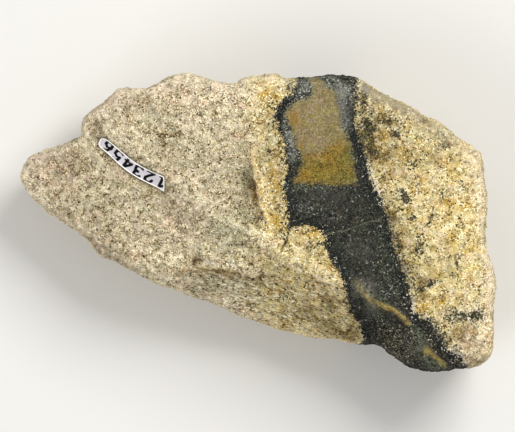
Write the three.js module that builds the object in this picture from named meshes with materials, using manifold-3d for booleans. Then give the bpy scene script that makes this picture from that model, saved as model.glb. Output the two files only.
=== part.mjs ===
// A hand specimen of tornebohmite: a slab of pale, fine-grained granite crossed by a dark
// mineral vein.  One sawn face is turned up, the rest of the surface is broken rock.  The
// rock and its vein grew as one piece, so they are one solid.  A narrow paper strip is
// glued along the foot of the step at the left end.
// Millimetres, +Z up.  The origin is the middle of the flat patch the slab rests on, X runs
// along its length and Y across it.

import * as THREE from 'three';
import { mergeVertices } from 'three/addons/utils/BufferGeometryUtils.js';
import { ImprovedNoise } from 'three/addons/math/ImprovedNoise.js';
import Module from 'manifold-3d';

// ---- Driving dimensions -------------------------------------------------------------------

const THICKNESS = 30; // from the resting patch to the sawn face

// The slab's plan, clockwise from the thin left tip.  The curve runs through every point.
const OUTLINE = [
  // left tip and the upper edge, with its two nicks
  [-52.5, 10.7], [-51.3, 13.6], [-46.4, 16.0], [-42.1, 17.4], [-39.5, 18.5], [-38.5, 19.0],
  [-38.9, 21.4], [-37.3, 24.5], [-34.8, 25.7], [-31.8, 28.3], [-30.6, 29.3], [-26.4, 29.6],
  [-24.4, 29.3], [-20.9, 31.2], [-16.1, 32.9], [-12.9, 32.2], [-9.6, 31.2], [-5.2, 30.4],
  [-2.3, 32.0], [0.6, 32.1], [3.3, 32.7], [6.5, 31.5], [11.9, 32.0], [20.5, 32.2],
  // the slope down to the right end
  [24.8, 30.0], [31.5, 26.2], [34.4, 25.0], [37.4, 22.9], [39.7, 22.4], [44.2, 18.6],
  [49.2, 15.1],
  // right end
  [49.7, 10.6], [50.6, 4.9], [50.1, -2.2], [50.6, -6.5], [52.5, -12.3], [52.0, -18.0],
  [52.0, -26.6], [51.6, -29.4], [50.2, -30.9], [45.8, -32.4], [43.4, -32.2], [39.6, -33.0],
  [36.7, -32.9],
  // lower edge, back to the tip
  [33.4, -31.9], [28.1, -28.2], [26.1, -27.0], [21.9, -27.0], [16.2, -25.5], [12.0, -25.6],
  [5.3, -23.7], [-3.1, -21.1], [-7.4, -19.2], [-11.7, -17.3], [-16.6, -16.0], [-18.6, -14.7],
  [-21.9, -13.8], [-26.5, -11.5], [-32.9, -8.2], [-34.9, -7.3], [-37.4, -4.2], [-44.3, 0.8],
  [-48.7, 4.4], [-52.0, 8.4],
];
const SAMPLES_PER_POINT = 2; // wall columns for each point of the plan

// The crest where the upper block breaks off, from the upper left down to the right.
const CREST = [
  [-42.0, 27.0], [-36.0, 23.5], [-34.2, 22.5], [-33.0, 20.3], [-31.5, 18.3], [-28.1, 16.3],
  [-23.7, 13.6], [-20.4, 10.3], [-14.9, 4.8], [-8.3, 2.2], [-1.7, -2.2], [3.9, -7.3],
  [19.3, -15.0], [34.0, -22.9],
];
const STEP_SLOPE_LEFT = 50; // degrees, slope of the step below the crest at the left end
const STEP_SLOPE_RIGHT = 45; // degrees, the same where the crest meets the sawn face

// The upper block falls gently from the sawn face to the left end.
const SAWN_LIMIT_X = 2; // the sawn face is level to the right of this
const UPPER_FALL = 0.14; // mm per mm

// The lower bench at the left, on which the step stands.
const BENCH = { at: [-30, 12], height: 22, riseX: 0.18, riseY: 0.1 };

// Broken facets along the lower edge, from left to right, which meet in shallow grooves: a
// point on each, its height there, the direction it falls in and its slope in degrees.
const FACETS = [
  { at: [-6.0, -10.8], height: 24, falls: [-0.17, -0.985], slope: 48 },
  { at: [3.9, -7.3], height: 30, falls: [-0.438, -0.9], slope: 51 },
  { at: [32.0, -21.5], height: 30, falls: [-0.69, -0.72], slope: 50 },
];

// The shallow hollow left of the vein, with a steep right wall that leans with y.
const HOLLOW = { depth: 2.2, farX: -15, fromY: -4, toY: 14 };
const HOLLOW_WALL = { x: 0.9, lean: -0.11, width: 3.4 };

const SMOOTH_BLEND = 1.2; // how softly two surfaces run into each other
const UNEVENNESS = 0.45; // mm, height of the slow waves in the broken surfaces
const LONG_WAVE = 8; // mm, length of the slow waves
const SHORT_WAVE = 3.5; // mm, length of the smaller waves on them

// Broken facets of the underside, where each leaves the flat resting patch, the direction
// it rises in and its slope in degrees.
const UNDER_FACETS = [
  { at: [-36, 9], rises: [-0.95, 0.3], slope: 24 },
  { at: [-27, -3], rises: [-0.5, -0.87], slope: 38 },
  { at: [2, -17], rises: [-0.3, -0.95], slope: 44 },
  { at: [22, -22], rises: [0.15, -0.99], slope: 33 },
  { at: [43, -24], rises: [0.6, -0.8], slope: 36 },
  { at: [46, -3], rises: [0.99, 0.1], slope: 42 },
  { at: [35, 17], rises: [0.55, 0.83], slope: 46 },
  { at: [12, 27], rises: [0.05, 1.0], slope: 40 },
  { at: [-18, 25], rises: [-0.35, 0.93], slope: 34 },
];

const WIDEST_LEVEL = 0.8; // the walls are widest at this part of their height
const WALL_BATTER = 0.05; // mm per mm that a wall leans in above that level
const UNDERCUT = 2.6; // mm that it runs in below it, down to the base
const UNDERCUT_SPREAD = 2.4; // mm that this varies along the edge
const UNDERCUT_WAVE = 14; // mm, length of that variation
const BREAK_DEPTH = 1.2; // mm, how deep the breaks in the walls are
const BREAK_SETBACK = 1.2; // mm that the broken wall stands back from its widest level
const EVENING_REACH = 2; // columns on each side that even out the lower walls
const SHOULDER = 1.6; // radius of the worn top edge
const SAWN_SHOULDER = 1.1; // the same where the sawn face runs out to the edge

// Corners of the sawn side where the rock's own skin is left: place, reach and extra radius.
const WORN_CORNERS = [
  { at: [44, 20], reach: 12, radius: 1.8 },
  { at: [51, -30], reach: 11, radius: 3.4 },
];

// Levels of the wall: parts of the way up to the widest level, then across the shoulder.
const LOWER_LEVELS = [-0.1, 0.2, 0.42, 0.64, 0.84, 1];
const SHOULDER_LEVELS = [0, 0.12, 0.4, 1];
const OVERSHOOT = 4; // the wall is lofted this far past the top before it is cut

const GRID_CELL = 2; // spacing of the surface grid
const BLANK = [110, 70]; // the grid covers the whole plan

// The line the walls lean in towards.
const SPINE = [new THREE.Vector2(-25, 8), new THREE.Vector2(35, 0)];

// The paper strip, along its middle from the left end.
const LABEL_LINE = [
  [-34.4, 17.7], [-33.5, 16.7], [-31.4, 14.9], [-29.4, 13.2], [-27.4, 11.9], [-25.4, 10.7],
  [-22.8, 9.2], [-20.6, 8.0],
];
const LABEL_WIDTH = 2.8;
const LABEL_THICKNESS = 0.25;
const LABEL_GAP = 0.5; // glue line and the roughness of the rock under the strip
const LABEL_STEPS = 14;

// ---- Small helpers ------------------------------------------------------------------------

const noise = new ImprovedNoise();
const { clamp, lerp, smoothstep, degToRad } = THREE.MathUtils;

// The lower of two heights, blended over k where they are close.
function softMin(a, b, k = SMOOTH_BLEND) {
  const h = clamp(0.5 + (0.5 * (b - a)) / k, 0, 1);
  return lerp(b, a, h) - k * h * (1 - h);
}

// The higher of two heights, blended in the same way.
function softMax(a, b, k = SMOOTH_BLEND) {
  return -softMin(-a, -b, k);
}

// Smooth noise between about -1 and 1, with waves of the given length in mm.
function waves(x, y, length, layer) {
  return noise.noise(x / length, y / length, layer);
}

// Vector from the nearest point of segment ab to point p.
function offsetFromSegment(p, a, b) {
  const along = b.clone().sub(a);
  const t = clamp(p.clone().sub(a).dot(along) / along.lengthSq(), 0, 1);
  return p.clone().sub(a.clone().addScaledVector(along, t));
}

// Distance from p to a line of points, positive to the right of the line's run.
function distanceRightOf(line, p) {
  let nearest = Infinity;
  let side = 1;
  for (let i = 0; i + 1 < line.length; i += 1) {
    const distance = offsetFromSegment(p, line[i], line[i + 1]).length();
    if (distance < nearest) {
      const run = line[i + 1].clone().sub(line[i]);
      nearest = distance;
      side = run.cross(p.clone().sub(line[i])) <= 0 ? 1 : -1;
    }
  }
  return side * nearest;
}

// ---- Plan ---------------------------------------------------------------------------------

// The plan as a closed ring of points, anticlockwise seen from above.
function planRing() {
  const points = OUTLINE.map(([x, y]) => new THREE.Vector3(x, y, 0)).reverse();
  const curve = new THREE.CatmullRomCurve3(points, true, 'centripetal');
  const count = OUTLINE.length * SAMPLES_PER_POINT;
  const columns = [];
  for (let i = 0; i < count; i += 1) {
    const point = curve.getPoint(i / count);
    columns.push(new THREE.Vector2(point.x, point.y));
  }
  return columns;
}

// The ring with its small nicks evened out.
function evenedRing(columns) {
  return columns.map((_, i) => {
    const mean = new THREE.Vector2();
    for (let step = -EVENING_REACH; step <= EVENING_REACH; step += 1) {
      mean.add(columns.at((i + step) % columns.length));
    }
    return mean.divideScalar(2 * EVENING_REACH + 1);
  });
}

const ring = planRing();

// ---- Height of the top surface ------------------------------------------------------------

function facetHeight({ at, height, falls, slope }, x, y) {
  const run = (x - at[0]) * falls[0] + (y - at[1]) * falls[1];
  return height - Math.tan(degToRad(slope)) * run;
}

const crest = CREST.map(([x, y]) => new THREE.Vector2(x, y));

// The sawn face and the upper block that falls away from it to the left.
function upperHeight(x) {
  return THICKNESS - UPPER_FALL * softMax(0, SAWN_LIMIT_X - x, 6);
}

// The step down from the crest, steepest at the left end.
function stepHeight(x, y) {
  const below = distanceRightOf(crest, new THREE.Vector2(x, y));
  const slope = lerp(STEP_SLOPE_LEFT, STEP_SLOPE_RIGHT, smoothstep(x, -34, -5));
  return upperHeight(x) - Math.tan(degToRad(slope)) * below;
}

function benchHeight(x, y) {
  return BENCH.height + BENCH.riseX * (x - BENCH.at[0]) + BENCH.riseY * (y - BENCH.at[1]);
}

function hollowDepth(x, y) {
  const wall = HOLLOW_WALL.x + HOLLOW_WALL.lean * y;
  const across = smoothstep(wall - x, 0, HOLLOW_WALL.width);
  const fade = smoothstep(x, HOLLOW.farX, wall - HOLLOW_WALL.width);
  const middle = (HOLLOW.fromY + HOLLOW.toY) / 2;
  const half = (HOLLOW.toY - HOLLOW.fromY) / 2;
  const along = 1 - smoothstep(Math.abs(y - middle), half * 0.45, half);
  return HOLLOW.depth * across * fade * along;
}

function rawTop(x, y) {
  const upper = upperHeight(x) - hollowDepth(x, y);
  const left = softMax(stepHeight(x, y), benchHeight(x, y));
  const lower = FACETS.map((facet) => facetHeight(facet, x, y)).reduce((a, b) => softMax(a, b));
  return softMin(softMin(upper, left), lower);
}

// The broken surfaces have slow waves; the sawn face has none.
function topHeight(x, y) {
  const top = rawTop(x, y);
  const sawn = smoothstep(x, -8, 4) * (1 - smoothstep(upperHeight(x) - top, 0, 0.6));
  const wave = waves(x, y, LONG_WAVE, 3.7) + 0.5 * waves(x, y, SHORT_WAVE, 9.1);
  return Math.min(THICKNESS, top + UNEVENNESS * (1 - sawn) * wave);
}

// ---- Height of the underside --------------------------------------------------------------

function baseHeight(x, y) {
  let base = 0;
  for (const { at, rises, slope } of UNDER_FACETS) {
    const run = (x - at[0]) * rises[0] + (y - at[1]) * rises[1];
    base = Math.max(base, Math.tan(degToRad(slope)) * run);
  }
  return base + UNEVENNESS * waves(x, y, LONG_WAVE, 21.3) * smoothstep(base, 0, 2);
}

// ---- Stone --------------------------------------------------------------------------------

// A block between the underside and the top surface, larger in plan than the stone.
function slabGeometry() {
  const cells = BLANK.map((size) => Math.round(size / GRID_CELL));
  const slab = new THREE.BoxGeometry(BLANK[0], BLANK[1], 1, cells[0], cells[1], 1);
  const position = slab.getAttribute('position');
  for (let i = 0; i < position.count; i += 1) {
    const surface = position.getZ(i) > 0 ? topHeight : baseHeight;
    position.setZ(i, surface(position.getX(i), position.getY(i)));
  }
  return slab;
}

function shoulderRadius(edge) {
  let radius = lerp(SHOULDER, SAWN_SHOULDER, smoothstep(edge.x, -5, 20));
  for (const corner of WORN_CORNERS) {
    const away = edge.distanceTo(new THREE.Vector2(...corner.at));
    radius += corner.radius * (1 - smoothstep(away, 0, corner.reach));
  }
  return radius;
}

// One column of the wall from the base up: it swells to the widest level, leans in above
// it, rolls over the shoulder and ends above the top surface.
function wallColumn(edge, evened) {
  const inward = offsetFromSegment(edge, ...SPINE).normalize().negate();
  const radius = shoulderRadius(edge);
  const widest = WIDEST_LEVEL * (topHeight(edge.x, edge.y) - radius);
  const undercut = UNDERCUT + UNDERCUT_SPREAD * waves(edge.x, edge.y, UNDERCUT_WAVE, 5.2);
  const column = [];
  for (const level of LOWER_LEVELS) {
    const z = widest * level;
    const breaks = BREAK_SETBACK + BREAK_DEPTH * waves(edge.x, edge.y, LONG_WAVE, z / LONG_WAVE);
    const below = smoothstep(1 - level, 0, 0.4);
    const inset = undercut * (1 - level) ** 2 + breaks * below;
    const at = edge.clone().lerp(evened, below).addScaledVector(inward, inset);
    column.push(new THREE.Vector3(at.x, at.y, z));
  }
  const lean = WALL_BATTER * (topHeight(edge.x, edge.y) - radius - widest);
  let at = edge;
  for (const level of SHOULDER_LEVELS) {
    at = edge.clone().addScaledVector(inward, lean + radius * level);
    const drop = radius * (1 - Math.sqrt(1 - (1 - level) ** 2));
    column.push(new THREE.Vector3(at.x, at.y, topHeight(at.x, at.y) - drop));
  }
  at.addScaledVector(inward, radius / 2);
  column.push(new THREE.Vector3(at.x, at.y, THICKNESS + OVERSHOOT));
  return column;
}

// The wall as a closed loft between columns, with a flat cap at each end.
function wallGeometry() {
  const evened = evenedRing(ring);
  const columns = ring.map((edge, i) => wallColumn(edge, evened[i]));
  const levels = columns[0].length;
  const indices = [];
  columns.forEach((_, i) => {
    const here = i * levels;
    const next = ((i + 1) % columns.length) * levels;
    for (let level = 0; level + 1 < levels; level += 1) {
      indices.push(here + level, next + level, next + level + 1);
      indices.push(here + level, next + level + 1, here + level + 1);
    }
  });
  const top = levels - 1;
  const outlines = [0, top].map((level) => (
    columns.map((column) => new THREE.Vector2(column[level].x, column[level].y))
  ));
  for (const [a, b, c] of THREE.ShapeUtils.triangulateShape(outlines[0], [])) {
    indices.push(a * levels, c * levels, b * levels);
  }
  for (const [a, b, c] of THREE.ShapeUtils.triangulateShape(outlines[1], [])) {
    indices.push(a * levels + top, b * levels + top, c * levels + top);
  }
  const wall = new THREE.BufferGeometry().setFromPoints(columns.flat());
  wall.setIndex(indices);
  return wall;
}

const wasm = await Module();
wasm.setup();

function toManifold(geometry) {
  const bare = geometry.clone();
  bare.deleteAttribute('normal');
  bare.deleteAttribute('uv');
  const merged = mergeVertices(bare, 1e-4);
  return new wasm.Manifold(new wasm.Mesh({
    numProp: 3,
    vertProperties: new Float32Array(merged.getAttribute('position').array),
    triVerts: new Uint32Array(merged.getIndex().array),
  }));
}

function toGeometry(manifold) {
  const mesh = manifold.getMesh();
  const geometry = new THREE.BufferGeometry();
  geometry.setAttribute('position', new THREE.BufferAttribute(mesh.vertProperties, 3));
  geometry.setIndex(new THREE.BufferAttribute(mesh.triVerts, 1));
  return geometry;
}

function stoneGeometry() {
  const slab = toManifold(slabGeometry());
  const wall = toManifold(wallGeometry());
  return toGeometry(slab.intersect(wall));
}

// ---- Paper label --------------------------------------------------------------------------

// A thin strip that follows the rock: four corners at each step along its line.
function labelGeometry() {
  const line = new THREE.CatmullRomCurve3(
    LABEL_LINE.map(([x, y]) => new THREE.Vector3(x, y, 0)), false, 'centripetal',
  );
  const positions = [];
  const indices = [];
  for (let step = 0; step <= LABEL_STEPS; step += 1) {
    const middle = line.getPointAt(step / LABEL_STEPS);
    const along = line.getTangentAt(step / LABEL_STEPS);
    const across = new THREE.Vector3(-along.y, along.x, 0);
    for (const [side, lift] of [[-1, 0], [1, 0], [1, LABEL_THICKNESS], [-1, LABEL_THICKNESS]]) {
      const corner = middle.clone().addScaledVector(across, (side * LABEL_WIDTH) / 2);
      const z = topHeight(corner.x, corner.y) + LABEL_GAP + lift;
      positions.push(corner.x, corner.y, z);
    }
  }
  for (let step = 0; step < LABEL_STEPS; step += 1) {
    for (let corner = 0; corner < 4; corner += 1) {
      const a = step * 4 + corner;
      const b = step * 4 + ((corner + 1) % 4);
      indices.push(a, b + 4, a + 4);
      indices.push(a, b, b + 4);
    }
  }
  const last = LABEL_STEPS * 4;
  indices.push(0, 2, 1, 0, 3, 2);
  indices.push(last, last + 1, last + 2, last, last + 2, last + 3);
  const strip = new THREE.BufferGeometry();
  strip.setAttribute('position', new THREE.Float32BufferAttribute(positions, 3));
  strip.setIndex(indices);
  return strip;
}

// ---- Assembly -----------------------------------------------------------------------------

const granite = new THREE.MeshStandardMaterial({ color: 0xc4b48c, roughness: 0.85, metalness: 0 });
const paper = new THREE.MeshStandardMaterial({ color: 0xd2cec8, roughness: 0.7, metalness: 0 });

function part(name, geometry, material) {
  const mesh = new THREE.Mesh(geometry, material);
  mesh.name = name;
  return mesh;
}

const specimen = new THREE.Group();
specimen.add(part('stone', stoneGeometry(), granite));
specimen.add(part('label', labelGeometry(), paper));

export default specimen;
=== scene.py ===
import itertools
import math
from functools import partial

import bmesh
import bpy
import numpy as np
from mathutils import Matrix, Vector, noise
from mathutils.bvhtree import BVHTree


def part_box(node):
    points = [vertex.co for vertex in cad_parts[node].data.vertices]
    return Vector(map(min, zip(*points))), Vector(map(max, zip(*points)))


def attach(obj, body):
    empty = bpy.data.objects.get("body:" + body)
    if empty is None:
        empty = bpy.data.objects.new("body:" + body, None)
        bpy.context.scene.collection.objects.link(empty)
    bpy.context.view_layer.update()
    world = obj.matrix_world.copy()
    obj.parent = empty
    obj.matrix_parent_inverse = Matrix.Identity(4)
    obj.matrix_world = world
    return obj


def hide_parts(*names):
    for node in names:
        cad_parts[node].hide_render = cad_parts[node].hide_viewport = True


# A hand specimen of tornebohmite: pale sugary granite crossed by a dark vein, with one sawn
# face turned up and a narrow paper label glued on its lower step.  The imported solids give
# the size and the coarse shape; the operators below make the fine surface and the finish.

bl_info = {
    "name": "Tornebohmite Specimen",
    "version": (1, 0, 0),
    "blender": (4, 5, 0),
    "location": "3D View > Sidebar > Specimen",
    "description": "Builds a granite hand specimen with a dark mineral vein and its label",
    "category": "Add Mesh",
}

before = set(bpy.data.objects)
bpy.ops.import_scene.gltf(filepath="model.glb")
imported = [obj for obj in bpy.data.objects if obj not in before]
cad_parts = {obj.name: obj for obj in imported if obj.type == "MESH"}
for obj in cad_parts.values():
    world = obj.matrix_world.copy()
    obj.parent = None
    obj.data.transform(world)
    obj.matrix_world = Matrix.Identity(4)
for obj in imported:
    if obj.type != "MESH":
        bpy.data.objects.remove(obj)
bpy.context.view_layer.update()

MM = 0.001
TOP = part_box("stone")[1].z / MM  # height of the sawn face, mm

# ---- Where the minerals lie -------------------------------------------------------------
# Plan positions in millimetres, in the frame's X and Y.

# The dark vein, from its upper left corner down its left side and up its right side.
VEIN = [
    (8.9, 36.0), (8.9, 31.5), (8.4, 29.6), (7.2, 28.2), (5.9, 27.2), (3.8, 25.2), (3.8, 22.8),
    (4.6, 20.4), (5.7, 17.2), (6.3, 14.4), (6.4, 11.6), (5.7, 9.4), (5.6, 6.2), (6.1, 4.2),
    (6.5, 1.4), (6.6, -1.5), (8.0, -1.1), (10.1, -0.7), (12.0, -0.9), (13.6, -1.8), (15.1, -3.4),
    (14.8, -5.8), (15.9, -8.0), (17.2, -10.4), (19.0, -12.8), (19.1, -15.2), (19.9, -17.6),
    (20.4, -20.2), (22.3, -22.0), (23.2, -24.2), (23.8, -27.2), (25.0, -36.0), (48.0, -36.0),
    (46.4, -32.1), (45.2, -30.2), (42.6, -28.2), (41.0, -27.2), (40.3, -25.4), (38.6, -23.4),
    (38.4, -21.7), (35.6, -21.0), (34.2, -19.6), (33.9, -16.4), (32.7, -12.4), (31.5, -9.4),
    (30.8, -6.8), (29.9, -4.2), (29.4, -0.8), (27.9, 2.2), (27.4, 5.2), (25.5, 7.8), (24.6, 11.2),
    (23.9, 14.4), (23.0, 16.8), (22.0, 19.4), (21.2, 22.8), (21.9, 25.6), (22.1, 28.4),
    (22.2, 31.5), (22.5, 36.0),
]

# The tan to ochre core in the vein's upper half.
CORE = [
    (11.4, 36.0), (11.4, 31.2), (11.9, 30.0), (12.3, 28.8), (11.9, 27.7), (10.2, 27.0),
    (8.2, 26.2), (7.2, 25.4), (6.6, 24.0), (6.6, 21.8), (7.5, 20.4), (7.8, 19.0), (8.2, 17.4),
    (8.8, 15.8), (9.9, 14.4), (10.0, 12.8), (9.2, 11.2), (8.4, 9.8), (7.6, 8.4), (12.7, 8.4),
    (17.0, 8.0), (21.7, 8.6), (21.3, 10.8), (21.0, 13.0), (20.4, 16.0), (20.1, 17.8), (19.1, 19.8),
    (18.4, 21.4), (18.1, 23.6), (17.9, 25.6), (17.6, 27.4), (16.5, 29.2), (14.8, 30.2),
    (13.5, 31.2), (13.0, 36.0),
]

# Above this line the core is tan, below it ochre.
OCHRE_LINE = [
    (4.0, 16.0), (8.8, 15.6), (10.6, 14.6), (13.0, 14.2), (15.0, 15.8), (18.4, 17.6), (24.0, 18.0),
]

# Tan streaks in the lower vein: a line of points and a half width at each end.
STREAKS = [
    {"line": [(21.6, -12.4), (22.6, -14.6), (24.4, -16.8), (26.4, -17.9)], "widths": (0.0, 0.3)},
    {"line": [(26.4, -17.9), (29.1, -19.0), (30.5, -19.9), (33.2, -22.2)], "widths": (0.4, 0.5)},
    {"line": [(37.2, -28.4), (38.8, -29.2), (39.9, -30.2), (41.4, -32.1)], "widths": (0.8, 0.3)},
]

# Fine pale veinlets that cross the dark vein.
VEINLETS = [
    [(15.6, -2.6), (18.0, -2.2), (19.6, -1.6), (22.0, -0.8), (24.1, -0.1), (27.2, 0.4)],
    [(12.4, 4.0), (14.6, 3.4), (17.2, 1.6), (18.6, 0.6)],
]

# Thin open cracks.
CRACKS = [
    [(7.4, -0.4), (7.2, -1.2), (6.6, -2.6), (6.0, -4.5), (5.2, -6.8)],
    [(11.0, -4.6), (11.6, -4.0), (13.6, -5.0), (15.4, -4.7)],
    [(36.6, -1.3), (37.6, 0.0), (38.6, 1.7)],
    [(43.5, -7.4), (43.7, -9.2), (43.9, -11.0)],
]

# Sizes of the relief, in millimetres.
SAWN_ROUNDING = (0.9, 0.1)  # depths below the top where the sawn face starts and is whole
WAVE = 4.2  # across the unevenness of a break
PIT = 1.5  # across a pit in the sawn face
PIT_DEPTH = 0.28
VEIN_PIT_DEPTH = 0.04  # the vein is denser
CRACK_DEPTH = 0.35
STEP_FADE = 1.3  # how far from a low step the rock evens out again
STEP_WIDTH = 0.4  # half width of the slope between its two levels
WANDER = 1.8  # across the bends of cracks and steps
SAWN_GRAIN = 0.35  # share of the grain relief that the saw left

# The vein runs down through the stone: how far it has moved and how far it strays by the
# underside, and how much its borders waver everywhere, in millimetres.
VEIN_SHIFT = (5.0, 0.0)
VEIN_STRAY = 4.0
VEIN_WAVER = 0.5

# How often points are drawn to their neighbours to round the mesh, and to measure how far
# each point lies in a small hollow or a broad dip, which the finish paints as shade and highlight.
ROUNDING = 6
HOLLOW_ROUNDS = {"hollow": 14, "dip": 220}

# Low steps where a layer of rock broke away: the rock to the left of each line stands higher.
STEPS = [
    {"line": [(2.2, -1.4), (1.1, 2.0), (0.2, 5.0), (-0.6, 8.5), (-1.1, 11.5), (-2.4, 19.0)], "height": -0.6},
    {"line": [(4.6, -8.4), (2.1, -6.0), (-3.5, -2.0), (-11.1, 1.0), (-20.0, 9.6)], "height": -0.2},
    {"line": [(-15.7, -10.9), (-12.3, -10.2), (-7.2, -10.9), (-1.3, -12.1), (3.8, -11.4)], "height": 0.4},
    {"line": [(8.9, -10.8), (13.4, -12.8), (16.8, -14.0)], "height": 0.4},
    {"line": [(-32.7, 17.6), (-33.9, 21.0), (-35.6, 23.2)], "height": -0.6},
    {"line": [(-20.6, 19.6), (-21.5, 23.5), (-23.6, 26.8), (-24.5, 29.5)], "height": -0.35},
    {"line": [(-14.6, -9.8), (-13.4, -7.6)], "height": 0.6},
    {"line": [(43.6, -7.0), (44.2, -9.4), (43.9, -12.0)], "height": -0.35},
]

# Soft patches: x, y, half length, half width, angle in degrees, strength.
DARK_GRAINS = [
    (24.1, 21.6, 1.8, 1.6, 70, 0.75), (23.9, 18.0, 2.0, 4.4, -6, 0.7),
    (29.4, -1.4, 5.0, 0.8, 106, 0.5), (32.2, -9.0, 4.4, 0.8, 108, 0.5),
    (27.4, 4.4, 2.4, 0.7, 118, 0.4), (28.7, 22.2, 2.2, 0.5, 10, 1.0),
    (30.5, 19.3, 1.1, 0.6, -50, 2.2), (23.7, 29.2, 1.4, 1.1, -40, 1.6),
    (23.0, 26.4, 3.0, 1.1, 84, 0.7), (25.9, 15.4, 1.1, 0.9, 0, 1.1),
    (34.4, 12.7, 1.0, 0.8, 20, 1.2), (27.5, 10.0, 0.5, 0.5, 0, 1.4),
    (32.4, 5.7, 1.8, 0.75, -66, 2.4), (33.9, 0.7, 0.8, 0.6, 0, 2.0),
    (38.0, 0.5, 1.5, 0.3, 60, 1.6), (35.6, -5.4, 2.2, 0.9, 84, 1.3),
    (40.5, 6.4, 0.8, 0.4, 30, 1.3), (41.2, 16.6, 1.0, 0.7, -30, 0.7),
    (30.4, 24.8, 0.8, 0.5, 0, 0.7), (27.6, 25.4, 1.4, 0.6, -20, 0.3),
    (31.2, -2.8, 0.8, 0.9, 0, 0.7), (44.6, -20.9, 2.2, 1.1, -8, 1.3),
    (48.5, -20.5, 1.9, 1.4, 0, 1.2), (38.1, -13.4, 1.0, 0.7, 30, 1.2),
    (36.1, -14.7, 1.1, 0.6, 0, 1.1), (34.4, -13.0, 0.8, 1.6, -10, 0.7),
    (40.4, -25.0, 4.8, 1.1, -46, 0.9), (44.4, -29.0, 2.6, 1.2, -40, 0.7),
    (36.8, -21.2, 2.0, 0.5, -12, 0.6), (44.1, -9.8, 1.6, 0.25, 86, 1.0),
    (7.2, 30.0, 1.0, 1.4, 0, 0.8), (3.4, 25.4, 1.8, 0.8, -20, 0.8), (3.4, 22.0, 0.7, 1.6, 0, 0.5),
    (5.2, 15.6, 0.6, 3.0, 12, 0.5), (-0.2, 0.7, 1.8, 0.6, 0, 0.6), (6.4, -1.0, 0.8, 1.6, 20, 0.8),
    (-13.9, -8.8, 1.5, 0.7, 55, 0.4), (-20.8, 19.0, 1.1, 0.7, 0, 0.8),
    (-18.2, 19.3, 1.2, 0.5, 10, 0.6), (-12.9, 23.8, 0.8, 0.25, -40, 2.0),
    (2.6, 15.5, 0.6, 0.5, 0, 1.6), (-26.6, 14.8, 1.0, 0.7, -40, 0.3),
    (14.0, -4.9, 1.8, 0.4, 0, 1.2), (6.0, -4.2, 0.45, 2.6, 20, 0.9), (8.6, -0.9, 1.2, 0.5, 0, 1.0),
    (-4.4, -13.4, 6.0, 0.4, -8, 0.25), (40.8, 12.0, 1.0, 0.5, 40, 0.5),
    (44.6, 1.0, 0.7, 0.5, 0, 0.6), (-9.4, -11.9, 1.2, 0.4, 10, 0.6),
    (-1.0, -12.5, 1.0, 0.35, 10, 0.7), (29.2, 22.8, 3.8, 1.8, -30, 0.14),
]
RUST = [
    (-0.8, 6.4, 0.9, 2.4, 10, 1.3), (0.8, 1.8, 0.7, 1.6, 14, 0.8), (-1.4, 14.6, 0.35, 2.6, 8, 0.6),
    (-13.9, -8.9, 1.9, 1.2, 55, 0.85), (-36.0, 20.4, 1.2, 1.6, 0, 0.2),
    (0.0, -12.2, 6.0, 0.6, -4, 0.6), (-9.7, 23.8, 1.2, 0.8, 30, 0.7),
    (-4.3, 26.2, 0.7, 0.6, 0, 0.7), (2.6, 15.5, 0.7, 0.6, 0, 1.0), (-20.9, 19.1, 1.5, 0.7, 5, 1.0),
    (-18.0, 19.4, 1.2, 0.5, 10, 0.8), (-39.5, 13.0, 2.2, 1.6, 60, 0.3),
    (18.8, -17.4, 1.2, 0.9, 10, 0.9), (18.0, -12.0, 0.8, 2.2, 20, 0.5),
    (6.0, -13.4, 4.0, 1.0, -8, 0.25), (-16.6, -11.0, 1.2, 0.6, 0, 0.6),
    (6.8, -22.2, 2.2, 0.7, -14, 0.5), (29.6, 18.8, 0.8, 0.6, 0, 1.0),
    (35.9, -14.7, 0.8, 0.6, 0, 1.0), (28.8, 12.6, 0.6, 0.5, 0, 0.9),
    (26.0, 13.4, 0.8, 0.8, 0, 0.6), (2.0, -7.0, 2.2, 0.9, -40, 0.3),
    (17.4, -24.0, 2.6, 0.6, -10, 0.6), (36.4, 9.8, 0.7, 0.5, 0, 0.5),
    (39.6, -1.4, 0.7, 0.5, 0, 0.6), (-28.6, -7.6, 1.6, 1.2, 0, 0.3),
    (-9.0, -10.9, 5.5, 0.8, -2, 0.4),
]
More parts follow.
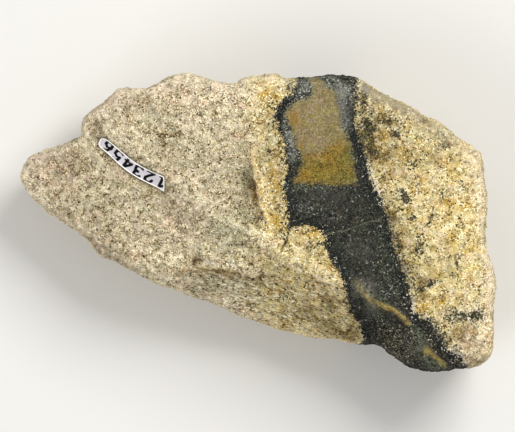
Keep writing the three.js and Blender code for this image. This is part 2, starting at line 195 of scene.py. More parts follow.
GOLD = [
    (27.7, 19.2, 1.4, 1.3, 10, 1.0), (32.0, 15.4, 1.7, 1.3, 0, 0.8), (27.4, 8.4, 1.2, 1.6, 0, 0.7),
    (29.4, 25.4, 7.0, 2.4, -31, 0.6), (37.6, 21.6, 1.6, 1.2, 0, 0.7),
    (39.5, -11.1, 1.3, 1.1, 0, 0.9), (40.5, -18.0, 2.0, 1.0, 0, 0.9),
    (36.6, -18.0, 1.4, 2.2, 0, 0.9), (40.8, 3.4, 3.0, 1.4, 10, 0.7),
    (43.0, 13.0, 2.4, 2.4, 0, 0.5), (48.0, -4.0, 2.2, 3.4, 0, 0.4), (3.4, 27.6, 2.4, 2.6, 0, 0.7),
    (3.6, 9.0, 1.4, 4.0, 0, 0.8), (12.0, -2.8, 3.0, 1.2, -15, 0.9),
    (16.4, -9.6, 1.4, 2.4, 25, 0.6), (36.4, 7.6, 2.2, 3.6, 30, 0.3), (4.4, 0.4, 1.6, 2.6, 20, 0.7),
    (0.6, 30.7, 1.3, 0.9, 0, 1.1), (1.6, 28.2, 1.6, 0.6, 20, 0.8), (43.4, -5.0, 0.6, 2.4, 10, 0.8),
    (46.0, 4.0, 1.4, 2.0, 0, 0.5), (-0.4, 12.6, 0.6, 2.8, 6, 0.8), (0.8, 6.4, 0.6, 3.0, 10, 0.8),
    (2.4, 1.6, 0.9, 3.0, 22, 0.6), (-23.0, 7.0, 5.0, 0.7, -32, 0.3),
    (-8.6, -10.8, 4.6, 0.6, -5, 1.0), (-16.6, -11.0, 1.0, 0.6, 0, 0.6),
    (26.6, 16.4, 1.2, 1.6, 0, 0.5),
]
# Darker patches: dirty or weathered rock, and painted shade in the hollow left of the low step near the vein.
SHADE = [
    (28.8, 22.0, 2.8, 1.4, -20, 1.0), (23.8, 18.8, 2.3, 5.0, -4, 1.4),
    (28.2, 15.6, 3.2, 3.2, 10, 0.9), (23.4, 28.0, 1.4, 2.4, 10, 0.5),
    (38.4, 20.0, 5.0, 1.0, -34, 0.3), (29.3, 2.2, 1.6, 3.8, 20, 1.1),
    (30.6, -4.4, 1.4, 6.0, 14, 1.0), (32.8, -10.0, 1.4, 4.0, 14, 0.4),
    (35.6, -12.6, 1.4, 3.0, 8, 0.4), (39.4, 19.4, 5.0, 1.4, -34, 0.6),
    (40.2, -26.0, 4.6, 1.6, -44, 0.9), (46.6, -20.6, 4.0, 1.6, 6, 0.8),
    (45.4, -25.4, 3.6, 3.0, -20, 0.7), (-34.0, -3.0, 8.0, 5.0, -35, 0.2),
    (-1.0, 7.4, 1.1, 3.2, 10, 0.75), (-2.6, 9.0, 1.6, 2.8, 10, 0.4), (-5.6, 6.2, 2.6, 2.2, 0, 0.3),
    (0.0, 0.7, 1.8, 0.8, 0, 0.75), (3.0, 18.5, 2.0, 6.0, 0, 0.5), (4.6, 3.0, 1.4, 6.0, 0, 0.4),
    (12.4, -6.0, 3.4, 1.4, -30, 0.5), (-41.0, 13.4, 3.6, 2.6, 30, 0.3),
    (-42.6, 1.2, 4.0, 1.5, -38, 0.4), (-36.0, -5.4, 5.0, 1.3, -36, 0.7),
    (-29.0, -10.2, 6.0, 1.4, -32, 0.85), (-19.4, 16.4, 3.0, 3.6, 0, 0.4),
    (-27.0, 26.4, 4.0, 2.4, 0, 0.3), (-13.9, -8.9, 1.9, 1.3, 55, 0.8),
    (-32.4, 27.0, 2.0, 1.6, 0, 0.5), (-12.0, -14.0, 6.0, 1.4, -20, 0.3),
    (50.0, 18.0, 3.0, 4.0, 0, 0.2), (18.6, -24.8, 3.6, 1.2, -12, 1.0),
    (-8.0, -11.3, 5.5, 1.0, -4, 0.55), (7.4, 30.4, 1.0, 1.6, 0, 0.8),
    (33.4, -4.6, 1.2, 2.6, 10, 0.7), (37.6, -13.0, 1.8, 1.2, 20, 0.9),
    (42.4, -9.4, 0.9, 2.2, 0, 0.6), (20.6, -24.0, 1.6, 2.0, 0, 0.9),
    (16.0, -17.4, 1.8, 2.6, 20, 0.7), (11.8, -19.4, 2.4, 1.2, -15, 0.7),
    (-1.6, 17.0, 2.0, 2.0, 0, 0.25), (30.0, 26.4, 7.0, 1.2, -31, 1.7),
    (-46.0, 14.4, 4.0, 1.4, 20, 0.35), (38.0, -9.6, 1.4, 1.4, 0, 0.5),
    (35.2, -16.0, 1.2, 1.6, 0, 1.0), (30.5, 10.6, 3.0, 1.4, 0, 0.45),
    (-1.6, 3.7, 1.4, 1.4, 0, 0.35), (-23.6, -2.6, 2.0, 1.4, 0, 0.4),
    (-32.4, 3.8, 2.0, 1.6, 0, 0.3), (-10.4, -13.0, 2.4, 1.4, -10, 0.45),
    (3.0, -6.0, 2.0, 1.4, 0, 0.3), (42.4, -19.6, 2.0, 1.4, 0, 0.4),
    (-19.0, 7.0, 2.0, 1.4, 0, 0.35), (16.0, -22.7, 2.0, 1.4, 0, 0.6),
    (38.0, 14.0, 3.4, 1.6, 0, 0.5), (42.6, 17.0, 1.6, 1.6, 0, 0.4), (5.2, 10.8, 0.9, 1.6, 0, 0.8),
    (-2.0, 14.0, 6.0, 4.0, 0, 0.15), (24.8, 13.6, 1.4, 1.4, 0, 0.35),
    (-32.5, -6.2, 2.4, 1.6, -30, 0.35), (-43.0, 8.0, 9.0, 7.0, -30, 0.12),
    (10.0, -21.0, 5.0, 1.6, -18, 0.4), (-8.0, 14.0, 5.0, 4.0, 0, 0.12),
    (26.0, 27.4, 2.0, 1.4, -20, 0.6),
]
PALE_GRAINS = [
    (25.9, 8.8, 3.2, 0.6, -68, 1.7), (27.4, 3.9, 0.5, 0.8, 0, 0.8),
    (34.4, -15.8, 0.4, 2.4, -6, 0.5), (8.8, -1.6, 1.6, 0.3, 0, 0.6),
    (42.2, -28.4, 1.0, 0.5, -40, 0.9), (15.2, -3.2, 0.4, 0.5, 0, 0.8),
    (17.3, -8.6, 0.3, 0.7, 20, 0.8), (46.2, -20.2, 3.6, 1.4, 4, 1.5),
    (2.4, -3.6, 1.2, 2.4, 30, 0.3), (15.0, -13.0, 2.2, 0.4, -28, 0.5),
    (-29.0, 17.8, 6.0, 0.5, -38, 0.3), (44.0, -29.0, 2.4, 0.8, -40, 0.3),
    (19.4, -13.6, 0.3, 0.5, 0, 0.8), (-8.0, -9.6, 4.4, 0.6, -6, 0.3),
    (-34.6, 24.4, 2.4, 0.6, -40, 0.3), (34.3, -18.6, 0.5, 1.8, -4, 1.0),
]
# Paler patches: clean, fresh rock, and painted light in the step's hollow and along the right-hand edge.
FRESH_AND_PAINTED_LIGHT = [
    (-10.0, 26.6, 13.0, 4.0, -6, 1.0), (-12.0, 2.4, 9.0, 1.6, -30, 0.4),
    (-3.0, -6.2, 6.0, 1.6, -15, 0.8), (-17.0, -2.0, 6.0, 3.0, -20, 0.6),
    (3.0, -20.0, 8.0, 3.0, -20, 0.5), (0.6, 8.0, 0.6, 6.0, 8, 0.9), (2.8, 1.0, 0.9, 3.4, 24, 0.9),
    (44.6, -9.6, 0.5, 2.4, 0, 0.8), (2.0, -4.4, 5.0, 2.4, -30, 0.5),
    (-6.0, 16.0, 5.0, 5.0, 0, 0.3), (51.0, -24.0, 1.8, 4.6, 0, 1.6),
    (7.2, -18.0, 6.0, 4.6, -20, 0.4), (-1.8, -8.0, 5.0, 2.0, -10, 1.4),
    (-27.6, -5.6, 5.0, 2.0, -34, 0.7), (46.7, -11.0, 2.2, 2.6, 0, 0.9),
    (11.5, -3.0, 2.4, 1.2, -15, 0.3), (-10.0, 21.0, 14.0, 5.0, 0, 0.5),
    (-6.0, 10.4, 2.0, 3.0, 0, 0.7), (-14.0, 8.0, 14.0, 8.0, -25, 0.4),
    (-8.0, -15.0, 8.0, 2.4, -20, 0.7), (-16.0, -8.0, 3.4, 1.4, -30, 0.5),
    (44.0, 1.0, 4.0, 4.0, 0, 0.5), (-17.4, -9.4, 5.0, 1.8, -28, 1.1),
    (7.2, -12.6, 3.0, 1.6, 0, 0.7), (7.0, -22.4, 3.0, 1.2, -14, 1.2),
    (-28.0, 20.2, 2.0, 2.0, 0, 0.7), (-36.8, 21.8, 1.6, 2.4, 0, 0.6),
    (-19.2, 26.4, 2.4, 2.0, 0, 0.6), (-23.0, 13.8, 2.0, 1.4, 0, 0.8),
    (46.8, -1.5, 2.6, 8.0, 0, 0.7), (42.4, 10.4, 2.0, 2.0, 0, 0.6), (42.4, -2.6, 2.4, 2.0, 0, 0.8),
    (-23.6, -5.8, 2.4, 1.6, -30, 0.7), (-26.0, 17.5, 3.0, 3.0, 0, 0.6),
    (-48.0, 10.2, 3.0, 1.4, 0, 0.6), (51.4, -25.6, 1.2, 3.4, 0, 1.2),
    (33.5, 7.0, 2.0, 1.2, 0, 0.5), (45.0, 3.6, 3.0, 1.6, 0, 0.6), (-1.6, 7.0, 1.2, 1.6, 0, 0.5),
    (2.6, 27.4, 1.6, 1.6, 0, 0.7), (-1.6, -19.4, 2.0, 1.2, 0, 0.6), (37.9, 17.2, 2.0, 1.6, 0, 0.6),
    (-6.0, -12.8, 2.0, 1.2, 0, 0.6), (0.6, -17.0, 4.0, 2.0, -20, 0.4),
    (11.6, -14.4, 2.0, 2.0, 0, 0.6), (32.4, 21.8, 1.8, 1.4, 0, 0.8),
]
PINK = [
    (-45.5, 11.5, 7.0, 5.0, -35, 1.0), (-9.0, -14.5, 8.0, 2.0, -25, 0.15),
    (-33.0, 25.0, 6.0, 5.0, 20, 0.6), (-16.0, 28.0, 12.0, 4.0, 0, 0.6),
    (-12.0, 12.0, 10.0, 7.0, 0, 0.3), (47.0, -26.0, 4.0, 5.0, 0, 0.9),
    (-18.0, 0.0, 8.0, 4.0, -30, 0.3), (49.0, 12.0, 2.5, 9.0, 5, 0.5),
    (-36.0, -5.6, 9.0, 2.0, -36, 0.8), (-3.0, -19.6, 14.0, 1.2, -18, 0.35),
    (51.0, -12.0, 1.5, 12.0, 0, 0.6),
]
GREY_TINT = [
    (40.2, 19.4, 2.6, 2.0, -30, 0.8), (-6.0, -2.5, 6.0, 2.6, -34, 0.9),
    (4.0, -17.0, 13.0, 4.0, -22, 0.4), (24.6, 19.6, 1.8, 3.6, -10, 0.9),
    (-2.6, 1.2, 5.0, 1.6, 0, 0.6), (46.6, -20.6, 3.6, 1.2, 6, 1.2),
    (-9.0, -6.0, 5.0, 1.6, -10, 0.5), (-24.0, 4.0, 3.0, 2.0, 0, 0.3),
    (-30.4, 21.4, 1.6, 1.2, 0, 0.4), (-2.6, 9.8, 1.2, 2.4, 0, 1.0), (-8.0, 12.0, 5.0, 4.0, 0, 0.4),
    (-22.0, 22.0, 4.0, 4.0, 0, 0.4), (30.0, 24.8, 7.0, 3.0, -31, 1.0),
    (-8.0, -14.0, 6.0, 2.4, -20, 0.3), (3.0, 20.0, 2.0, 6.0, 0, 0.5),
    (-16.0, 17.0, 4.0, 3.0, 0, 0.3),
]
# Fine layers seen edge on, which draw the grains out in one direction.
LAYERED = [(0.0, -17.0, 16.0, 5.0, -20, 1.2), (16.0, -17.0, 5.0, 6.0, -30, 1.0)]

# Kinds of ground inside the vein, as soft patches like those above.
GREY_GROUND = [
    (10.6, 29.8, 1.6, 1.8, 0, 1.5), (6.0, 21.8, 0.6, 1.4, 0, 0.9), (7.0, 18.4, 0.9, 2.2, 14, 1.5),
    (7.9, 14.4, 0.8, 1.4, 0, 1.1), (14.8, 31.2, 2.4, 1.0, 0, 1.5), (17.2, 29.6, 1.8, 1.4, 0, 1.4),
    (19.0, 20.9, 0.6, 1.4, 0, 0.9), (20.4, 28.4, 1.1, 2.4, 0, 1.0),
    (12.0, 2.6, 2.6, 0.8, -12, 0.4), (9.8, 3.0, 1.4, 1.0, 0, 0.3), (8.4, 26.9, 1.2, 0.8, 30, 0.8),
    (29.0, -15.0, 2.4, 2.4, 0, 0.3),
]
GREEN_GROUND = [
    (37.2, -29.0, 1.5, 4.4, 24, 1.3), (26.6, -21.4, 1.6, 1.4, 0, 0.7),
    (34.8, -24.6, 0.9, 2.0, 26, 0.9), (29.0, -9.0, 3.0, 9.0, 15, 0.2),
    (40.6, -31.2, 2.4, 1.0, -30, 1.0), (12.4, 7.6, 7.0, 0.5, 0, 0.65),
    (9.6, 25.4, 0.6, 0.8, 0, 0.6), (34.4, -27.6, 1.2, 3.0, 20, 0.8),
]
# Smooth grey film over the dark grains.
HAZE = [
    (18.5, 25.8, 0.9, 4.2, 6, 1.3), (18.6, 28.8, 1.3, 1.3, 0, 1.0),
    (24.0, -15.6, 3.4, 1.1, -50, 1.3), (25.8, -17.9, 1.6, 0.8, -38, 0.9),
    (24.8, -13.4, 1.4, 1.4, 0, 0.4), (10.6, 29.8, 1.6, 1.4, 0, 0.4),
    (7.7, 17.4, 0.5, 1.8, 12, 1.2), (20.0, 22.0, 0.6, 1.6, 0, 0.5),
    (25.0, -19.2, 1.2, 1.2, 0, 0.6), (36.8, -27.6, 1.2, 1.6, 0, 0.35),
    (22.4, -6.4, 3.2, 2.0, 0, 0.16), (15.0, 5.2, 6.0, 2.0, -5, 0.13),
    (21.4, -15.2, 1.0, 1.6, 0, 0.4), (34.6, -27.6, 2.4, 2.4, 0, 0.2),
    (20.4, 27.6, 1.0, 3.0, 0, 0.3), (30.2, -19.6, 3.0, 0.9, -36, 0.4),
]
SPECKLED_GROUND = [
    (30.9, -26.6, 3.4, 4.6, 24, 1.6), (21.6, 29.2, 1.6, 2.8, 0, 0.9),
    (33.0, -17.0, 0.7, 3.2, 0, 0.6), (38.4, -25.6, 0.9, 3.4, 34, 0.7),
    (44.0, -31.0, 1.6, 1.2, 0, 1.0),
]
CORE_RUST = [
    (7.9, 22.6, 1.1, 2.0, 0, 0.85), (18.6, 15.8, 1.4, 1.0, 0, 0.8),
    (10.2, 10.0, 1.4, 1.8, -20, 0.6), (9.6, 16.6, 0.8, 1.0, 0, 0.6),
    (14.4, 14.2, 2.0, 1.0, 0, 0.5),
]
CORE_OLIVE = [
    (18.6, 9.6, 3.0, 1.2, 0, 0.7), (19.8, 14.4, 1.6, 3.0, 0, 0.8), (16.0, 20.4, 1.2, 1.6, 0, 0.4),
    (12.4, 12.4, 1.0, 0.8, 0, 0.4),
]


# ---- Small helpers ----------------------------------------------------------------------


def linear(code):
    """Turn an sRGB hex colour into linear red, green, blue and alpha."""
    channels = [int(code[i : i + 2], 16) / 255 for i in (1, 3, 5)]
    straight = [c / 12.92 if c <= 0.04045 else ((c + 0.055) / 1.055) ** 2.4 for c in channels]
    return (*straight, 1.0)


def add(tree, kind, inputs, out=0, ramp=None, **settings):
    """Add one shader node with its settings, its ramp of flat colours, and its inputs.

    An input is a socket, a number, a hex colour or the name of a value stored on the mesh.
    Returns the output named by out, or counted by it among the outputs in use."""
    made = tree.nodes.new("ShaderNode" + kind)
    for name, value in settings.items():
        setattr(made, name, value)
    if ramp:
        made.color_ramp.interpolation = "CONSTANT"
        elements = made.color_ramp.elements
        while len(elements) < len(ramp):
            elements.new(1.0)
        for element, (start, code) in zip(elements, ramp.items()):
            element.position = start
            element.color = linear(code)
    for name, value in inputs.items():
        live = [s for s in made.inputs if s.enabled]
        socket = live[name] if isinstance(name, int) else next(s for s in live if s.name == name)
        if isinstance(value, str) and not value.startswith("#"):
            value = add(tree, "Attribute", {}, "Fac", attribute_name=value)
        if isinstance(value, bpy.types.NodeSocket):
            tree.links.new(value, socket)
        else:
            socket.default_value = linear(value) if isinstance(value, str) else value
    if isinstance(out, str):
        return made.outputs[out]
    return [s for s in made.outputs if s.enabled][out] if made.outputs else None


def new_material(name):
    """An empty node material, and the function that adds a node to it."""
    material = bpy.data.materials.new(name)
    material.use_nodes = True
    material.node_tree.nodes.clear()
    return material, partial(add, material.node_tree)


def lay_coats(node, colour, coats):
    """Lay coats over a colour in turn: each has its share, its tint and its way to blend."""
    for share, tint, blend in coats:
        colour = node("Mix", {"Factor": share, "A": colour, "B": tint}, data_type="RGBA", blend_type=blend)
    return colour


def measure_along(points, line):
    """For each stretch of a line: each point's share of the way along, distance and side."""
    for i, (a, b) in enumerate(zip(line[:-1], line[1:])):
        run = np.array(b) - np.array(a)
        offset = points - np.array(a)
        t = np.clip(offset @ run / (run @ run), 0, 1)
        away = np.linalg.norm(offset - t[:, None] * run, axis=1)
        side = (run[0] * offset[:, 1] - run[1] * offset[:, 0]) / np.linalg.norm(run)
        yield (i + t) / (len(line) - 1), away, side


def distance_to_line(points, line, widths=(0.0, 0.0)):
    """Distance in plan from each point to a line of points, less a width that runs along it."""
    best = np.full(len(points), np.inf)
    for share, away, _ in measure_along(points, line):
        best = np.minimum(best, away - widths[0] - (widths[1] - widths[0]) * share)
    return best


def depth_inside(points, outline):
    """Depth in plan of each point inside a closed outline, negative outside."""
    ring = [*outline, outline[0]]
    x, y = points[:, 0], points[:, 1]
    inside = np.zeros(len(points), bool)
    for (x0, y0), (x1, y1) in zip(ring[:-1], ring[1:]):
        if y0 != y1:
            crosses = (y0 > y) != (y1 > y)
            inside ^= crosses & (x < (x1 - x0) * (y - y0) / (y1 - y0) + x0)
    return np.where(inside, 1, -1) * distance_to_line(points, ring)


def patches(points, spots):
    """Sum of soft elliptical patches at each point."""
    total = np.zeros(len(points))
    for x, y, length, width, angle, strength in spots:
        turn = math.radians(angle)
        offset = points - np.array([x, y])
        along = offset @ np.array([math.cos(turn), math.sin(turn)])
        across = offset @ np.array([-math.sin(turn), math.cos(turn)])
        total += strength * np.exp(-((along / length) ** 2) - (across / width) ** 2)
    return total


def step_beside(points, line):
    """1 just left of a line of points and -1 just right, fading away from it and at its ends."""
    nearest = np.full(len(points), np.inf)
    level = np.zeros(len(points))
    for share, away, side in measure_along(points, line):
        here = np.clip(side / STEP_WIDTH, -1, 1) * np.exp(-away / STEP_FADE)
        here *= smooth_step(np.minimum(share, 1 - share), -0.05, 0.2)
        level = np.where(away < nearest, here, level)
        nearest = np.minimum(nearest, away)
    return level


def noise_at(points, size, layer, octaves=1):
    """Smooth noise, about -1 to 1, with waves of the given size in millimetres."""
    shift = Vector((layer, 0.7 * layer, 1.3 * layer))
    values = [noise.fractal(Vector(p) / size + shift, 1.0, 2.0, octaves) for p in points]
    return np.array(values)


def shift_at(points, size, layers, octaves=1):
    """Two noises at each point, as a shift in plan."""
    return np.stack([noise_at(points, size, layer, octaves) for layer in layers], axis=1)


def smooth_step(values, low, high):
    """0 below low, 1 above high, and a smooth rise between."""
    t = np.clip((values - low) / (high - low), 0, 1)
    return t * t * (3 - 2 * t)


def store(mesh, name, values):
    """Keep one number for each point of the mesh, for its material to read."""
    mesh.attributes.new(name, "FLOAT", "POINT").data.foreach_set("value", values.astype(np.float32))


def link_piece(piece, node):
    """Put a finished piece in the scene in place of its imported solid."""
    bpy.context.scene.collection.objects.link(piece)
    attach(piece, "root")
    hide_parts(node)


# ---- Settings ---------------------------------------------------------------------------


def length_setting(name, description, default):
    """A length that a user can change, in metres."""
    return bpy.props.FloatProperty(
        name=name, description=description, default=default, min=0.0, subtype="DISTANCE", unit="LENGTH"
    )


def power_setting(name, description, default):
    """A light's power that a user can change, in watts."""
    return bpy.props.FloatProperty(
        name=name, description=description, default=default, min=0.0, unit="POWER"
    )


def colour_setting(name, description, code):
    """A colour that a user can change, given as an sRGB hex value."""
    return bpy.props.FloatVectorProperty(
        name=name, description=description, default=linear(code), size=4, min=0, max=1, subtype="COLOR"
    )


class StoneSettings(bpy.types.PropertyGroup):
    mesh_cell: length_setting("Mesh cell", "Spacing of the stone's fine mesh", 0.45 * MM)
    relief: length_setting("Break relief", "Height of the unevenness of the broken faces", 0.34 * MM)
    grain_relief: length_setting("Grain relief", "How far single grains stand proud", 0.6 * MM)
    chip: length_setting("Chip", "Size of the broken grains that show as facets", 1.3 * MM)
    grain: length_setting("Grain", "Size of the granite's feldspar and quartz grains", 0.45 * MM)
    fine_grain: length_setting("Fine grain", "Size of the smaller grains between them", 0.24 * MM)
    vein_grain: length_setting("Vein grain", "Size of the grains in the dark vein", 0.24 * MM)
    feldspar: colour_setting("Feldspar", "Palest grains left of the vein", "#e2d6b8")
    honey: colour_setting("Honey feldspar", "Palest grains right of the vein", "#e5d59a")
    rose: colour_setting("Rosy feldspar", "Palest grains where the rock is rosy", "#e0c9b4")
    white_feldspar: colour_setting("White feldspar", "Whitest grains of all", "#f3e8c8")
    mica: colour_setting("Mica", "Dark specks of the granite", "#352a17")
    gold: colour_setting("Honey stain", "Golden iron stain", "#c9a954")
    rust: colour_setting("Rust stain", "Brown stain along breaks and specks", "#a9864a")
    vein: colour_setting("Vein", "Lightest grains of the vein's middle", "#4b4737")
    core: colour_setting("Core", "Tan part of the vein's core", "#877751")
    ochre: colour_setting("Ochre", "Yellow brown part of the vein's core", "#8c762c")


class LabelSettings(bpy.types.PropertyGroup):
    thickness: length_setting("Thickness", "Thickness of the paper with its glue", 0.16 * MM)
    mesh_cell: length_setting("Mesh cell", "Spacing of the strip's fine mesh", 0.07 * MM)
    digit_height: length_setting("Digit height", "Height of the printed digits", 2.3 * MM)
    paper: colour_setting("Paper", "Colour of the paper", "#d6d2d4")
    ink: colour_setting("Ink", "Colour of the printed digits", "#050404")


class StageSettings(bpy.types.PropertyGroup):
    floor: colour_setting("Floor", "Colour of the plain floor", "#d9d7d2")
    camera_height: length_setting("Camera height", "Height of the camera above the sawn face", 2.8)
    view_width: length_setting("View width", "Width of the view at the sawn face", 113.3 * MM)
    key_power: power_setting("Key power", "Power of the large soft light", 5.3)
    fill_power: power_setting("Fill power", "Power of the weaker light opposite", 2.3)
    sky: bpy.props.FloatProperty(
        name="Sky", description="Strength of the even light from all round", default=0.63, min=0
    )


# ---- Stone: shape -----------------------------------------------------------------------


def fine_copy(source, cell):
    """A closed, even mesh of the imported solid."""
    merged = bmesh.new()
    merged.from_mesh(source.data)
    bmesh.ops.remove_doubles(merged, verts=merged.verts, dist=cell / 100)
    mesh = bpy.data.meshes.new("stone_rock")
    merged.to_mesh(mesh)
    merged.free()
    carrier = bpy.data.objects.new("carrier", mesh)
    bpy.context.scene.collection.objects.link(carrier)
    remesh = carrier.modifiers.new("remesh", "REMESH")
    remesh.mode = "VOXEL"
    remesh.voxel_size = cell
    bpy.context.view_layer.update()
    seen = carrier.evaluated_get(bpy.context.evaluated_depsgraph_get())
    fine = bpy.data.meshes.new_from_object(seen)
    bpy.data.objects.remove(carrier)
    bpy.data.meshes.remove(mesh)
    fine.materials.clear()
    return fine


def read_points(mesh):
    """The mesh's points in millimetres, and its normals."""
    points = np.empty(len(mesh.vertices) * 3)
    normals = np.empty(len(mesh.vertices) * 3)
    mesh.vertices.foreach_get("co", points)
    mesh.vertex_normals.foreach_get("vector", normals)
    return points.reshape(-1, 3) / MM, normals.reshape(-1, 3)


def write_points(mesh, points):
    """Move the mesh's points to these places, given in millimetres."""
    mesh.vertices.foreach_set("co", (points * MM).ravel())
    mesh.update()


def smoothed(mesh, points, rounds):
    """Points drawn halfway to the mean of their neighbours, as many times as asked."""
    edges = np.empty(len(mesh.edges) * 2, int)
    mesh.edges.foreach_get("vertices", edges)
    near, far = edges[0::2], edges[1::2]
    near, far = np.concatenate([near, far]), np.concatenate([far, near])
    count = np.bincount(near, minlength=len(points))
    for _ in range(rounds):
        means = [np.bincount(near, points[far, axis], len(points)) / count for axis in range(3)]
        points = (points + np.stack(means, axis=1)) / 2
    return points


def grain_facets(points, size):
    """Height of a break that steps from grain to grain, each one flat and tilted its own way."""
    def chance(corner, turn):
        # The fraction left of a very large sine is scattered between 0 and 1
        wave = np.sin(corner @ np.array([127.1, 311.7, 74.7]) + turn) * 43758.5453
        return wave - np.floor(wave)

    home = np.floor(points / size)
    nearest = np.full(len(points), np.inf)
    height = np.zeros(len(points))
    for step in itertools.product((-1, 0, 1), repeat=3):
        corner = home + np.array(step)
        jitter = np.stack([chance(corner, turn) for turn in (0.0, 1.7, 3.9)], axis=1)
        offset = points / size - corner - jitter
        tilt = np.stack([chance(corner, turn) for turn in (5.1, 6.3, 7.7)], axis=1) - 0.5
        away = np.sum(offset**2, axis=1)
        closer = away < nearest
        nearest = np.where(closer, away, nearest)
        level = np.sum(offset * tilt, axis=1) + 0.5 * (chance(corner, 9.1) - 0.5)
        height = np.where(closer, level, height)
    return height


def sawn_share(points, normals):
    """1 on the sawn face, 0 on broken rock."""
    ragged = points[:, 2] + 0.25 * noise_at(points, 3.0, 6.0, octaves=2)
    start, whole = SAWN_ROUNDING
    return smooth_step(ragged, TOP - start, TOP - whole) * smooth_step(normals[:, 2], 0.9, 0.985)


def plan_in_vein(points, normals):
    """Plan positions for the vein's outlines: wavy, and wandering where it runs out of sight."""
    hidden = np.clip((1 - normals[:, 2]) / 2, 0, 1) * (TOP - points[:, 2]) / TOP
    drift = np.array(VEIN_SHIFT) + VEIN_STRAY * shift_at(points, 16, (3.0, 8.0))
    waver = VEIN_WAVER * shift_at(points, 2.2, (31.0, 37.0), 2)
    return points[:, :2] + waver + hidden[:, None] * drift


def shape_rock(mesh, settings):
    """Raise the break relief and the grains, cut the cracks, and store where they lie."""
    points, _ = read_points(mesh)
    write_points(mesh, smoothed(mesh, points, ROUNDING))
    points, normals = read_points(mesh)
    sawn = sawn_share(points, normals)
    in_vein = smooth_step(depth_inside(plan_in_vein(points, normals), VEIN), -0.4, 0.4)
    wander = shift_at(points, WANDER, (11.0, 17.0))
    crack = np.min([distance_to_line(points[:, :2] + 0.45 * wander, line) for line in CRACKS], axis=0)
    crack = np.where(normals[:, 2] > 0.2, crack + 0.35 * noise_at(points, 2.2, 21.0), 10.0)
    waves = noise_at(points, WAVE, 1.0, octaves=3) * settings.relief / MM
    grains = grain_facets(points + 0.2 * normals, settings.chip / MM) * settings.grain_relief / MM
    pits = smooth_step(noise_at(points, PIT, 9.0), 0.15, 0.6)
    lift = (1 - sawn) * (waves + grains) + sawn * (1 - in_vein) * SAWN_GRAIN * grains
    lift -= sawn * pits * (PIT_DEPTH + (VEIN_PIT_DEPTH - PIT_DEPTH) * in_vein)
    lift -= CRACK_DEPTH * (1 - smooth_step(crack, 0.0, 0.5))
    faces_up = smooth_step(normals[:, 2], 0.1, 0.5)
    for step in STEPS:
        lift += faces_up * step["height"] * step_beside(points[:, :2] + 0.5 * wander, step["line"])
    moved = points + normals * lift[:, None]
    moved[:, 2] = np.maximum(moved[:, 2], 0)
    write_points(mesh, moved)
    store(mesh, "sawn", sawn)
    store(mesh, "crack", crack)
    for name, rounds in HOLLOW_ROUNDS.items():
        store(mesh, name, np.sum((smoothed(mesh, moved, rounds) - moved) * normals, axis=1))
    return points, normals


def store_minerals(mesh, points, normals):
    """Store where each mineral and stain lies, for the material to read."""
    plan = plan_in_vein(points, normals)
    facing_up = smooth_step(normals[:, 2], -0.1, 0.4)
    far_side = smooth_step(points[:, 0] + 0.4 * points[:, 1], 19, 21)
    line = np.array(OCHRE_LINE)
    streaks = [distance_to_line(plan, streak["line"], streak["widths"]) for streak in STREAKS]
    under_label = depth_inside(points[:, :2], strip_outline())
    fields = {
        "vein_depth": depth_inside(plan, VEIN),
        "core_depth": depth_inside(plan, CORE),
        "below_ochre_line": np.interp(plan[:, 0], line[:, 0], line[:, 1]) - plan[:, 1],
        "streak": -np.min(streaks, axis=0),
        "veinlet": np.min([distance_to_line(plan, veinlet) for veinlet in VEINLETS], axis=0),
        # a thin dark line round the label: painted shadow and old glue
        "glue": facing_up * smooth_step(under_label, -0.5, -0.05),
        "right_end": smooth_step(points[:, 0], -6, 4),
        "far_side": far_side,
        "selvage": far_side * (1 - 0.8 * smooth_step(points[:, 1], -1, 4)),
    }
    kinds = {
        "dark_grains": DARK_GRAINS, "rust": RUST, "gold": GOLD, "shade": SHADE, "layered": LAYERED,
        "pale_grains": PALE_GRAINS, "pink": PINK, "grey_tint": GREY_TINT, "grey_ground": GREY_GROUND,
        "green_ground": GREEN_GROUND, "speckled_ground": SPECKLED_GROUND, "core_rust": CORE_RUST,
        "core_olive": CORE_OLIVE, "fresh": FRESH_AND_PAINTED_LIGHT, "haze": HAZE,
    }
    for name, spots in kinds.items():
        fields[name] = facing_up * patches(points[:, :2], spots)
    for name, values in fields.items():
        store(mesh, name, values)


# ---- Stone: finish ----------------------------------------------------------------------

MICA_GRAIN = 0.34  # mm across a speck of dark mica
LAYER_TURN = math.radians(18)  # how far the grains of the layered rock lean
LAYER_STRETCH = (0.35, 1.0, 1.0)  # and how they are drawn out, as shares of their width


def places_in_mm(node):
    """Places on the object, in millimetres, so that a pattern's scale is one over its size."""
    return node("VectorMath", {0: node("TexCoord", {}, "Object"), "Scale": 1 / MM}, operation="SCALE")


def bent_places(node, mm, size, reach, detail):
    """Places pushed this way and that, so that the cells laid on them are bent."""
    push = node("TexNoise", {"Vector": mm, "Scale": 1 / size, "Detail": detail}, "Color")
    push = node("VectorMath", {0: push, "Scale": reach}, operation="SCALE")
    return node("VectorMath", {0: push, 1: mm}, operation="ADD")


def share_of(node, field, channel, low, high, top, bottom=0.0):
    """A share that rises from bottom to top as one channel of a colour goes from low to high."""
    level = node("SeparateColor", {"Color": field}, channel)
    return node("MapRange", {"Value": level, "From Min": low, "From Max": high,
                             "To Min": bottom, "To Max": top})


def threads(node, mm, size, seed, detail, core, width, strength):
    """Fine wandering threads, where noise of the given size crosses its middle value."""
    place = node("VectorMath", {0: mm, 1: (seed, seed, seed)}, operation="ADD")
    away = node("TexNoise", {"Vector": place, "Scale": 1 / size, "Detail": detail})
    away = node("Math", {0: away, 1: 0.5}, operation="SUBTRACT")
    away = node("Math", {0: away}, operation="ABSOLUTE")
    return node("MapRange", {"Value": away, "From Min": width, "From Max": core, "To Max": strength})


